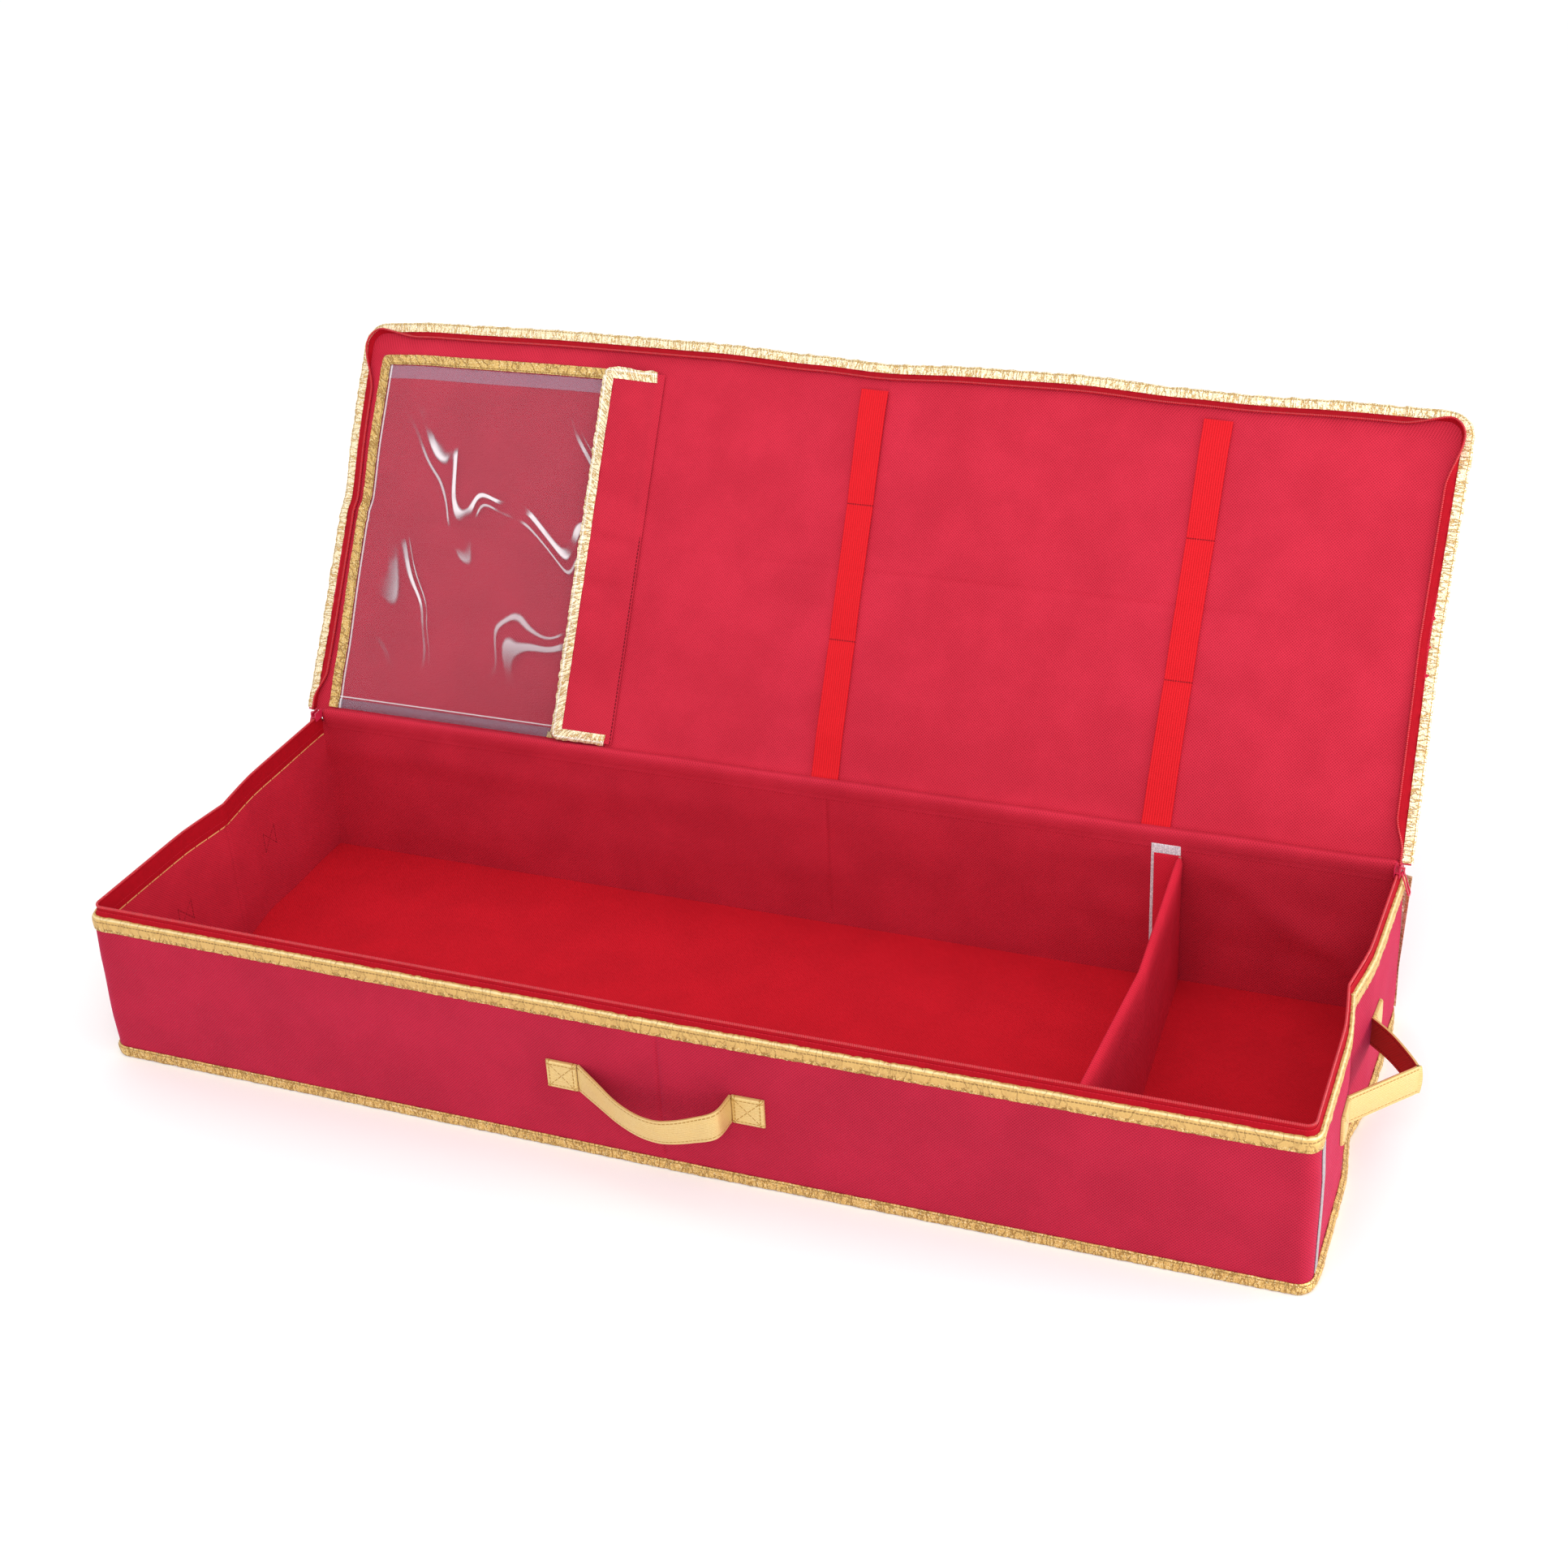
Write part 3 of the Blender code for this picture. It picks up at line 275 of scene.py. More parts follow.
print("Middles of the walls along the rail:", {wall: round(wall_mark(wall, 0.0), 3) for wall in wall_spans})

# %% [markdown]
# ## Laying a strip of cloth
# A grid from `create_grid` is cloth fresh from the bolt. Its own cut size goes into a UV map, in metres,
# so a weave or a row of stitches keeps its true scale. The grid is extruded once for its thickness,
# and a place function then carries each point to where it lies on the case.

# %% Lay cloth on the frame
sharp_turn = math.radians(50.0)


def lay_cloth(name, along, across, place, thickness, finish):
    """Cloth of the given stations, carried point by point by place(along, across, lift)."""
    shape = bmesh.new()
    columns, rows = len(along) - 1, len(across) - 1
    bmesh.ops.create_grid(shape, x_segments=columns, y_segments=rows, size=0.5)
    column_mark = shape.verts.layers.float.new("column_mark")
    row_mark = shape.verts.layers.float.new("row_mark")
    for vert in shape.verts:
        vert[column_mark] = along[round((vert.co.x + 0.5) * columns)]
        vert[row_mark] = across[round((vert.co.y + 0.5) * rows)]
    cut = shape.loops.layers.uv.new("cut")
    for face in shape.faces:
        for loop in face.loops:
            loop[cut].uv = (loop.vert[column_mark], loop.vert[row_mark])
    raised = bmesh.ops.extrude_face_region(shape, geom=list(shape.faces))
    upper = {item for item in raised["geom"] if isinstance(item, bmesh.types.BMVert)}
    for vert in shape.verts:
        lift = thickness if vert in upper else 0.0
        vert.co = place(vert[column_mark], vert[row_mark], lift)
    shape.verts.layers.float.remove(row_mark)
    shape.verts.layers.float.remove(shape.verts.layers.float["column_mark"])
    bmesh.ops.recalc_face_normals(shape, faces=shape.faces)
    return keep_shape(name, shape, finish)


def keep_shape(name, shape, finish):
    """Turn a finished bmesh into a smooth-shaded object with its finish."""
    mesh = bpy.data.meshes.new(name)
    shape.to_mesh(mesh)
    shape.free()
    mesh.materials.append(finish.material)
    mesh.shade_smooth()
    mesh.set_sharp_from_angle(angle=sharp_turn)
    piece = bpy.data.objects.new(name, mesh)
    bpy.context.scene.collection.objects.link(piece)
    return piece


print("Cloth is", cloth * 1000, "mm thick; turns over", round(math.degrees(sharp_turn)), "degrees stay sharp")


# %% Hand a finished piece to the frame
def settle(piece, body, slot, *nodes):
    """Let a piece ride on a body and stand for the solids it covers; the slot is not used."""
    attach(piece, body)
    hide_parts(*nodes)
    print(piece.name, "rides on", body, "and has", len(piece.data.polygons), "faces")


# %% [markdown]
# ## Writing shader sums as ordinary sums
# A finish is a small network of nodes. Wiring each Math node by hand hides the idea behind it, so a
# Port wraps one output socket, and writing `a * b + 1` adds the nodes. Every other node comes from
# one method, `Finish.node`. A finish knows where a point lies on the cut cloth, in metres.

# %% A socket that does sums
class Port:
    """An output socket that can be added, subtracted, multiplied and divided."""

    def __init__(self, finish, socket):
        self.finish = finish
        self.socket = socket

    def maths(self, operation, *others, swapped=False):
        values = (others[0], self) if swapped else (self, *others)
        return self.finish.node("ShaderNodeMath", {"operation": operation}, dict(enumerate(values)))

    def __add__(self, other):
        return self.maths("ADD", other)

    __radd__ = __add__

    def __sub__(self, other):
        return self.maths("SUBTRACT", other)

    def __rsub__(self, other):
        return self.maths("SUBTRACT", other, swapped=True)

    def __mul__(self, other):
        return self.maths("MULTIPLY", other)

    __rmul__ = __mul__

    def __truediv__(self, other):
        return self.maths("DIVIDE", other)


print("A Port can do:", [name.strip("_") for name in vars(Port) if name[2:-2] in ("add", "sub", "mul", "truediv")])


# %% A finish and its nodes
class Finish:
    """A material in the making: one Principled shader and the nodes that feed it."""

    def __init__(self, name):
        self.material = bpy.data.materials.new(name)
        self.material.use_nodes = True
        self.tree = self.material.node_tree
        self.shader = self.tree.nodes["Principled BSDF"]

    def node(self, kind, settings=None, inputs=None, output=0):
        """Add a node: its settings first, then a value or a link for each named input."""
        made = self.tree.nodes.new(kind)
        for key, value in (settings or {}).items():
            setattr(made, key, value)
        for key, value in (inputs or {}).items():
            self.feed(made.inputs[key], value)
        return Port(self, made.outputs[output])

    def feed(self, socket, value):
        """Link a port to a socket, or set the socket's own value."""
        if isinstance(value, Port):
            self.tree.links.new(value.socket, socket)
        else:
            socket.default_value = value

    def dress(self, **inputs):
        """Set the shader's sockets; a name's underscores stand for spaces."""
        for key, value in inputs.items():
            self.feed(self.shader.inputs[key.replace("_", " ")], value)
        return self

    def emboss(self, height, strength=1.0):
        """Turn a height in metres into the shader's normal."""
        bump = self.node("ShaderNodeBump", None, {"Strength": strength, "Distance": 1.0, "Height": height})
        self.feed(self.shader.inputs["Normal"], bump)
        return self


print("A Finish can:", [name for name in vars(Finish) if not name.startswith("_")])


# %% Colours and places for a finish
def paint(red, green, blue):
    """A colour picked on the 0 to 255 scale, as the shader's linear colour."""
    def linear(level):
        level /= 255.0
        return level / 12.92 if level <= 0.04045 else ((level + 0.055) / 1.055) ** 2.4
    return (linear(red), linear(green), linear(blue), 1.0)


def cut_place(finish):
    """Distance along and across the cut cloth, in metres."""
    place = finish.node("ShaderNodeUVMap", {"uv_map": "cut"})
    parts = finish.node("ShaderNodeSeparateXYZ", None, {"Vector": place})
    return parts, Port(finish, parts.socket.node.outputs[1])


def speckle(finish, size, detail=2.0, stretch=None):
    """Soft noise of a given size in metres, from 0 to 1, in the object's own space."""
    place = finish.node("ShaderNodeTexCoord", None, None, "Object")
    if stretch:
        place = finish.node("ShaderNodeMapping", None, {"Vector": place, "Scale": stretch})
    inputs = {"Vector": place, "Scale": 1.0 / size, "Detail": detail, "Roughness": 0.6}
    return finish.node("ShaderNodeTexNoise", None, inputs)


print("Half grey in the shader's linear colour:", round(paint(128, 128, 128)[0], 3))


# %% Ripples, steps and stitches
def ripple(value, pitch):
    """A sine along a distance, once every pitch, from -1 to 1."""
    return (value * (2 * math.pi / pitch)).maths("SINE")


def ramped(value, low, high):
    """0 below low, 1 above high, smooth between."""
    inputs = {"Value": value, "From Min": low, "From Max": high}
    settings = {"interpolation_type": "SMOOTHSTEP"}
    return value.finish.node("ShaderNodeMapRange", settings, inputs)


def mixed(finish, share, first, second):
    """A colour between two others."""
    return finish.node("ShaderNodeMix", {"data_type": "RGBA"}, {0: share, 6: first, 7: second}, 2)


def near(value, centre, half_width, soft=0.0002):
    """1 within a half width of a place, 0 beyond it."""
    distance = (value - centre).maths("ABSOLUTE")
    return 1 - ramped(distance, half_width - soft, half_width + soft)


def dashes(value, pitch, share):
    """1 on the thread of a running stitch, 0 in its gaps."""
    phase = (value / pitch).maths("FRACT")
    return near(phase, 0.5, share / 2, 0.06)


stitch_pitch, stitch_width = 0.0034, 0.0004


def stitch_row(along, across, row, pitch=stitch_pitch, thread=stitch_width):
    """One row of running stitches beside an edge."""
    return near(across, row, thread, thread * 0.5) * dashes(along, pitch, 0.72)


print("A stitch every", stitch_pitch * 1000, "mm, in thread", stitch_width * 2000, "mm wide")

# %% [markdown]
# ## Cloth finishes
# The case is covered in a soft bonded cloth, pressed with a fine diagonal grid of dimples. The two rows
# of the grid lie 1.84 mm apart, measured on the photograph. Adding two sines that cross at right angles
# gives the same grid, its dimples darkened with painted shade, and slow noise gives the uneven dye of a cheap red
# cloth.

# %% Bonded cloth, in its shades
dimple_pitch = 0.0026
dimple_depth = 0.00024
cloud_size, fibre_size = 0.060, 0.0009


def bonded_cloth(name, face, shade, seams=(), bloom=0.03):
    """Soft bonded cloth with pressed dimples; each seam is marks(along, across) and its thread."""
    finish = Finish(name)
    along, across = cut_place(finish)
    dimples = ripple(along + across, dimple_pitch) + ripple(along - across, dimple_pitch)
    pressed = ramped(dimples, -0.2, 1.6)
    clouds = ramped(speckle(finish, cloud_size, 3.0), 0.30, 0.72)
    fibre = speckle(finish, fibre_size, 1.0)
    # the pressed dimples are darkened with painted shade; clouds and fibre give the cloth's own uneven dye
    dimple_shade_and_dye = pressed * 0.62 + (1 - clouds) * 0.25 + (1 - fibre) * 0.18
    colour = mixed(finish, dimple_shade_and_dye, face, shade)
    height = pressed * -dimple_depth + fibre * 0.00005
    for marks, thread in seams:
        sewn = marks(along, across)
        colour = mixed(finish, sewn, colour, thread)
        height = height - sewn * 0.0003
    finish.dress(Base_Color=colour, Roughness=fibre * 0.12 + 0.78)
    finish.dress(Sheen_Weight=bloom, Sheen_Roughness=0.4, Sheen_Tint=paint(255, 96, 168), Specular_IOR_Level=0.16)
    return finish.emboss(height)


cover_cloth = bonded_cloth("cover_cloth", paint(186, 32, 60), paint(142, 16, 38), bloom=0.30)
lining_cloth = bonded_cloth("lining_cloth", paint(212, 46, 70), paint(168, 25, 44))
sleeve_cloth = bonded_cloth("sleeve_cloth", paint(224, 40, 64), paint(182, 24, 44))
floor_red = bonded_cloth("floor_red", paint(214, 22, 40), paint(176, 12, 28))
print("Cloth finishes:", cover_cloth.material.name, lining_cloth.material.name, floor_red.material.name)

# %% [markdown]
# ## Gold tape, webbing and zip
# The bindings are gold lame tape: a thin metallic weave that crinkles wherever it turns. Its colour
# runs from painted pale highlights to tan painted shade in its folds, so noise drives colour, roughness and bump
# together.
# The webbing is a gold weave with a diagonal rib. Stitches are drawn from the cut place, in metres.

# %% Crinkled gold tape
# where the rim tape turns over the top; a pale painted highlight line is drawn along it
rim_turn = 0.0119


def gold_tape(name, tones, stitch_place, fold_pitch, foil_to):
    """Metallic tape: painted fold shade, face and painted highlight tones, stitches, folds across it, foil with
    painted sparkle up to a place.
    """
    finish = Finish(name)
    along, across = cut_place(finish)
    stretched = finish.node("ShaderNodeCombineXYZ", None, {"X": along / fold_pitch, "Y": across * 70.0})
    bends = finish.node("ShaderNodeTexNoise", None, {"Vector": stretched, "Scale": 1.0, "Detail": 2.0})
    creases = near(bends, 0.50, 0.030, 0.026)
    grain = speckle(finish, 0.0011, 2.0)
    foil = 1 - ramped(across, foil_to - 0.0005, foil_to + 0.0005)
    # painted glints: pale sparkling flecks in the foil
    painted_sparkle = ramped(grain, 0.56, 0.70) * foil
    # painted shade in the crease lines, plus darker flecks of the tape's own grain
    crease_shade_and_grain = creases * (foil * 0.6 + 0.25) + ramped(grain, 0.54, 0.34) * (foil * 0.5 + 0.15)
    tone = mixed(finish, crease_shade_and_grain.maths("MINIMUM", 1.0), tones[1], tones[0])
    thread = stitch_row(along, across, stitch_place, 0.0030, 0.00045)
    # painted highlight: the foil's sparkle and a pale line along the rim's turn
    tone = mixed(finish, painted_sparkle + near(across, rim_turn, 0.0007, 0.0004) * 0.6, tone, tones[2])
    finish.dress(Base_Color=mixed(finish, thread, tone, tones[0]))
    finish.dress(Metallic=foil * 0.2 + 0.40 - thread * 0.3, Roughness=0.46 - painted_sparkle * 0.2 + crease_shade_and_grain * 0.1)
    return finish.emboss(bends * 0.0016 - creases * 0.0005 + grain * 0.0003 - thread * 0.0005)


# one gold tape in three copies, each a fold shade, a face and a highlight: the darker copy on the rim is painted
# shade, the paler copy on the lid's edge is painted light, the middle one lies between them
shaded_gold_tones = (paint(158, 120, 62), paint(212, 172, 102), paint(246, 228, 178))
mid_tones = (paint(168, 128, 66), paint(222, 184, 110), paint(252, 236, 190))
lit_gold_tones = (paint(206, 166, 98), paint(250, 236, 198), paint(255, 252, 242))
rim_gold = gold_tape("rim_gold", shaded_gold_tones, stitch_place=0.0088, fold_pitch=0.0090, foil_to=0.0034)
foot_gold = gold_tape("foot_gold", mid_tones, stitch_place=0.0078, fold_pitch=0.0050, foil_to=0.0120)
edge_gold = gold_tape("edge_gold", lit_gold_tones, stitch_place=0.0070, fold_pitch=0.0042, foil_to=1.0)
pocket_gold = gold_tape("pocket_gold", mid_tones, stitch_place=0.0082, fold_pitch=0.0080, foil_to=1.0)
print("Gold tape finishes:", rim_gold.material.name, foot_gold.material.name, edge_gold.material.name)


# %% Woven gold webbing
seam_inset = 0.0026


def woven_gold(name, seams):
    """Gold webbing with a diagonal rib; seams(finish, along, across) gives its stitches."""
    finish = Finish(name)
    along, across = cut_place(finish)
    rib = ripple(across + (along * 2000.0).maths("SINE") * 0.00005, 0.0016)
    weft = ripple(along + across * 0.6, 0.0011)
    weave = (rib * 0.5 + 0.5) * (weft * 0.3 + 0.7)
    glint = speckle(finish, 0.0016, 2.0)
    worn = ramped(speckle(finish, 0.012, 2.0), 0.35, 0.7)
    tone = mixed(finish, weave * 0.6 + glint * 0.5, paint(198, 160, 92), paint(238, 212, 150))
    tone = mixed(finish, worn * 0.3, tone, paint(224, 188, 112))
    thread = seams(along, across)
    colour = mixed(finish, thread, tone, paint(178, 128, 44))
    finish.dress(Base_Color=colour, Metallic=0.35 - thread * 0.3, Roughness=0.5 - glint * 0.12)
    return finish.emboss(weave * 0.00018 + thread * 0.00035)


def edge_seams(along, across):
    """A row of stitches near each long edge of a strap."""
    return stitch_row(along, across, seam_inset) + stitch_row(along, across, webbing_width - seam_inset)


def box_seams(along, across):
    """A stitched box with a cross, as on the sewn ends of a handle."""
    inset, reach_along, reach_across = 0.0030, 0.0270, webbing_width
    rows = stitch_row(along, across, inset) + stitch_row(along, across, reach_across - inset)
    ends = stitch_row(across, along, inset) + stitch_row(across, along, reach_along - inset)
    slope = reach_across / reach_along
    cross = stitch_row(along, across - along * slope, 0.0)
    cross = cross + stitch_row(along, across + along * slope, reach_across)
    return (rows + ends + cross).maths("MINIMUM", 1.0)


strap_gold = woven_gold("strap_gold", edge_seams)
pad_gold = woven_gold("pad_gold", box_seams)
print("Webbing finishes:", strap_gold.material.name, pad_gold.material.name)


# %% Zip tape and moulded plastic
def zip_cloth(name):
    """Dense ribbed zip tape with its sewing line."""
    finish = Finish(name)
    along, across = cut_place(finish)
    rib = ripple(across, 0.0008) * 0.6 + ripple(along, 0.0010) * 0.4
    thread = stitch_row(along, across, 0.0050, 0.0030, 0.0003)
    tone = mixed(finish, rib * 0.25 + speckle(finish, 0.006) * 0.5, paint(176, 10, 30), paint(132, 5, 18))
    finish.dress(Base_Color=mixed(finish, thread, tone, paint(196, 30, 50)), Roughness=0.8, Specular_IOR_Level=0.12)
    return finish.emboss(rib * 0.00006 + thread * 0.0002)


def plain_plastic(name, light, deep, roughness):
    """Moulded plastic with faint clouding and rubbed highlights."""
    finish = Finish(name)
    clouds = speckle(finish, 0.004, 3.0)
    finish.dress(Base_Color=mixed(finish, clouds, light, deep), Roughness=clouds * 0.2 + roughness)
    finish.dress(Coat_Weight=clouds * 0.2 + 0.1)
    return finish.emboss(speckle(finish, 0.0012) * 0.00005)


red_zip_tape = zip_cloth("red_zip_tape")
red_chain = plain_plastic("red_chain", paint(206, 16, 38), paint(158, 8, 26), roughness=0.36)
red_enamel = plain_plastic("red_enamel", paint(214, 44, 82), paint(176, 26, 60), roughness=0.22)
print("Zip finishes:", red_zip_tape.material.name, red_chain.material.name, red_enamel.material.name)

# %% Elastic and hook tape
elastic_tacks = (0.125, 0.248)


def ribbed_elastic(name):
    """Elastic with fine ribs along it, tacked across in two places."""
    finish = Finish(name)
    along, across = cut_place(finish)
    rib = ripple(across, 0.0021)
    knit = ripple(along, 0.0012)
    lower, upper = (stitch_row(across, along, tack, 0.0024, 0.0005) for tack in elastic_tacks)
    tacks = lower + upper
    shade = rib * 0.3 + knit * 0.12 + speckle(finish, 0.02) * 0.3
    tone = mixed(finish, shade, paint(226, 20, 34), paint(184, 6, 18))
    finish.dress(Base_Color=mixed(finish, tacks, tone, paint(150, 16, 30)), Roughness=0.7, Specular_IOR_Level=0.2)
    return finish.emboss(rib * 0.00022 + knit * 0.00006 - tacks * 0.0004)


def looped_tape(name, light, deep):
    """Pale hook and loop tape, fuzzy with tiny loops."""
    finish = Finish(name)
    loops = speckle(finish, 0.0012, 3.0)
    rows = ripple(cut_place(finish)[0], 0.0016)
    tone = mixed(finish, ramped(loops, 0.35, 0.65), deep, light)
    finish.dress(Base_Color=tone, Roughness=0.85, Sheen_Weight=0.3)
    return finish.emboss(loops * 0.0007 + rows * 0.0001)


red_elastic = ribbed_elastic("red_elastic")
white_hooks = looped_tape("white_hooks", paint(236, 230, 234), paint(190, 182, 190))
grey_strip = looped_tape("grey_strip", paint(170, 156, 160), paint(140, 124, 130))
print("Trim finishes:", red_elastic.material.name, white_hooks.material.name, grey_strip.material.name)

# %% [markdown]
# ## The cloth walls
# Outside, one long strip of cloth wraps the four boards; inside, a second one lines them. Both follow
# the same rail at their own insets. Stretched cloth is never quite flat, so slow noise lets it swell a
# little, always away from the board and least where it is sewn down.

# %% Swell of cloth over a board
def swell(x, y, z, size, height):
    """A soft rise between 0 and a height, from slow noise."""
    level = noise.noise(Vector((x, y, z)) / size)
    return height * min(max(0.5 + 0.9 * level, 0.0), 1.0)


def eased(share):
    """A share that starts and ends gently."""
    share = min(max(share, 0.0), 1.0)
    return share * share * (3 - 2 * share)


def held_down(value, low, high, margin):
    """0 at two sewn edges, 1 well inside them."""
    return min(max(min(value - low, high - value) / margin, 0.0), 1.0)


print("Swell of a 1 mm cloth at three places:", [round(swell(x, 0.0, 0.0, 0.07, 1.0), 2) for x in (0.0, 0.1, 0.2)])


# %% Creases of the walls
crease_marks = [
    wall_mark("front", crease_x), wall_mark("back", crease_x), wall_mark("left", 0.0), wall_mark("right", 0.0)]
crease_steps = (-0.0038, -0.0024, -0.0014, -0.0006, 0.0, 0.0006, 0.0014, 0.0024, 0.0038)
crease_room = 0.0045


def crease_dip(along, depth=0.0014, half_width=0.0016):
    """How far the cloth sinks into the fold between two boards."""
    return sum(depth * math.exp(-((along - mark) / half_width) ** 2) for mark in crease_marks)


def creased_stations(rail, spacing):
    """Stations of a rail, with more of them beside each crease."""
    marks = rail.stations(spacing)
    marks = [mark for mark in marks if min(abs(mark - crease) for crease in crease_marks) > crease_room]
    return sorted(marks + [crease + step for crease in crease_marks for step in crease_steps])


print("Wall creases at", [round(mark, 3) for mark in crease_marks])


# %% Outer cloth of the walls
cover_wave, cover_rise = 0.075, 0.0014


def outer_puff(along, height):
    """How far the outer cloth stands off its boards, less its creases."""
    low, high = foot_binding_width, wall_height - rim_binding_width
    plain = case_rail.at(along)
    puff = swell(plain.x, plain.y, height * 1.6, cover_wave, cover_rise) * held_down(height, low, high, 0.03)
    return puff - crease_dip(along) * held_down(height, low, high, 0.006)


def outer_wall_place(along, height, lift):
    """The outside of a wall, softly swollen between the gold tapes."""
    point = case_rail.at(along, cloth - lift - outer_puff(along, height))
    return Vector((point.x, point.y, height))


wall_heights = even(wall_foot, wall_height, 26)
wall_columns = creased_stations(case_rail, 0.0065)
wall_cloth = lay_cloth("wall_cloth", wall_columns, wall_heights, outer_wall_place, cloth, cover_cloth)
settle(wall_cloth, "case", "cover_cloth", "front_cover", "right_cover", "back_cover", "left_cover")


# %% Lining of the walls
front_hook_x, rear_hook_x = 0.338, 0.3265
hook_marks = [wall_mark("front", front_hook_x), wall_mark("back", rear_hook_x)]
lining_wave, lining_puff = 0.06, 0.0016
wrinkle_rise = 0.0034
fold_x, fold_z, fold_slope, fold_rise, fold_width = 0.350, 0.130, 0.58, 0.0030, 0.016


def inner_puff(along, height):
    """How far the lining stands off its boards: flat where hook tape is sewn on, wrinkled at the back."""
    plain = case_rail.at(along)
    sewn = min(max(abs(along - mark) - 0.014, 0.0) / 0.02 for mark in hook_marks)
    free = held_down(height, floor_top, wall_height - 0.004, 0.025) * min(sewn, 1.0)
    puff = swell(plain.x, plain.y + 3.0, height, lining_wave, lining_puff)
    if plain.y > half_depth - 0.01:
        puff += wrinkle_rise * max(noise.noise(Vector((plain.x * 2.2, 0.0, height * 21.0))), 0.0)
        below_fold = height - fold_z + (plain.x - fold_x) * fold_slope
        slanting = math.exp(-((below_fold + 0.006) / fold_width) ** 2)
        puff += fold_rise * slanting * eased((plain.x - fold_x) / 0.05)
    return puff * free - crease_dip(along) * min(free * 3.0, 1.0)


def inner_wall_place(along, depth, lift):
    """The inside of a wall, from its rim down."""
    height = wall_height - depth
    point = case_rail.at(along, lining_inset + lift + inner_puff(along, height))
    return Vector((point.x, point.y, height))


print("Hook tape is sewn on at", [round(mark, 3) for mark in hook_marks], "m along the rail")

# %% Stitches that show inside
handle_middle = 0.073
pad_middle_y = 0.0705
pad_middle_depth = wall_height - handle_middle
pad_half = 0.0105


def rim_line(along, across):
    """The gold edge that shows under the zip tape, inside the zipped rim."""
    broken = ramped(ripple(along, 0.0041) + ripple(along, 0.0167), -1.7, -1.2)
    zipped = 1 - ramped(along, rim_rail.length, rim_rail.length + 0.001)
    return near(across, 0.0134, 0.00055) * broken * zipped


def crossed_box(along, across, middle):
    """The stitches of a handle's end, seen through the lining: a cross between two upright rows."""
    beside, below = along - middle, across - pad_middle_depth
    inside = near(beside, 0.0, pad_half) * near(below, 0.0, pad_half)
    cross = stitch_row(along, beside - below, 0.0) + stitch_row(along, beside + below, 0.0)
    sides = stitch_row(across, beside, 0.0006 - pad_half) + stitch_row(across, beside, pad_half - 0.0006)
    return inside * (cross + sides).maths("MINIMUM", 1.0)


def handle_crosses(along, across):
    """The crossed boxes behind the four ends of the side handles."""
    found = 0.0
    for wall in ("left", "right"):
        for y in (-pad_middle_y, pad_middle_y):
            found = crossed_box(along, across, wall_mark(wall, y)) + found
    return found


wall_seams = ((rim_line, paint(236, 178, 112)), (handle_crosses, paint(124, 12, 28)))
wall_red = bonded_cloth("wall_red", paint(202, 38, 60), paint(156, 20, 40), wall_seams)
lining_depths = even(0.0, wall_height - wall_foot, 30)
wall_lining = lay_cloth("wall_lining", wall_columns, lining_depths, inner_wall_place, cloth, wall_red)
settle(wall_lining, "case", "lining_cloth", "front_lining", "right_lining", "back_lining", "left_lining")

# %% [markdown]
# ## Floor and bottom
# Both are level sheets cut to the plan of the case. A square grid becomes the plan when each row is
# stretched between the left and the right wall, and each column between the front and the back.
# The floor cloth lies over two boards, so it dips softly along the fold between them.

# %% The plan of a level sheet
def wall_x(y, inset):
    """How far the side walls stand from the middle, at a place between front and back."""
    return half_length - side_pull_at(min(abs(y), half_depth), side_pull) - inset


def front_y(x, inset):
    """The front wall's place at a distance along the case."""
    reach = half_length + crease_x if x < crease_x else half_length - crease_x
    return -half_depth + inset - front_bow * (1 - min(abs(x - crease_x) / reach, 1.0))


def rounded_reach(distance, radius):
    """How much of a row is lost to a round corner, at a distance from the corner's own edge."""
    if distance >= radius:
        return 0.0
    return radius - math.sqrt(max(radius * radius - (radius - distance) ** 2, 0.0))


def level_place(side, forward, inset):
    """A share across (-1 to 1) and a share back (0 to 1), carried onto the plan."""
    y = -half_depth + inset + forward * (2 * half_depth - 2 * inset)
    lost = rounded_reach(y + half_depth - inset, front_corner_radius)
    x = side * (wall_x(y, inset) - lost)
    return x, front_y(x, inset) * (1 - forward) + (half_depth - inset) * forward


print("The floor's front right corner lies at", [round(v, 3) for v in level_place(1.0, 0.0, inner_inset)])


# %% A level sheet inside the plan
def lay_level_sheet(name, inset, height_at, finish, columns, rows):
    """A sheet cut to the plan; height_at(x, y, lift) gives its level."""
    def place(side, forward, lift):
        x, y = level_place(side, forward, inset)
        return Vector((x, y, height_at(x, y, lift)))
    piece = lay_cloth(name, even(-1.0, 1.0, columns), even(0.0, 1.0, rows), place, cloth, finish)
    scale_cut(piece, half_length, 2 * half_depth)
    return piece


def scale_cut(piece, along, across):
    """Bring a cut map that was laid out in shares to metres."""
    for loop in piece.data.uv_layers["cut"].data:
        loop.uv = (loop.uv[0] * along, loop.uv[1] * across)


print("Level sheets are cut up to", 2 * half_length, "by", 2 * half_depth, "m")

# %% Floor lining and bottom cloth
def floor_level(x, y, lift):
    """The floor cloth, with a soft dip over the fold of the boards and slow waves."""
    dip = 0.0006 * math.exp(-((x - crease_x) / 0.004) ** 2)
    rim = held_down(y, -half_depth + inner_inset, half_depth - inner_inset, 0.02)
    return floor_top - cloth + lift + rim * swell(x, y * 1.7, 5.0, 0.09, 0.0011) - dip


def bottom_level(x, y, lift):
    """The bottom cloth, flat where the case rests."""
    return cloth - lift


floor_cloth = lay_level_sheet("floor_cloth", inner_inset, floor_level, floor_red, columns=130, rows=48)
settle(floor_cloth, "case", "lining_cloth", "floor_lining")
bottom_cloth = lay_level_sheet("bottom_cloth", 0.0, bottom_level, cover_cloth, columns=60, rows=24)
settle(bottom_cloth, "case", "cover_cloth", "bottom_cover")

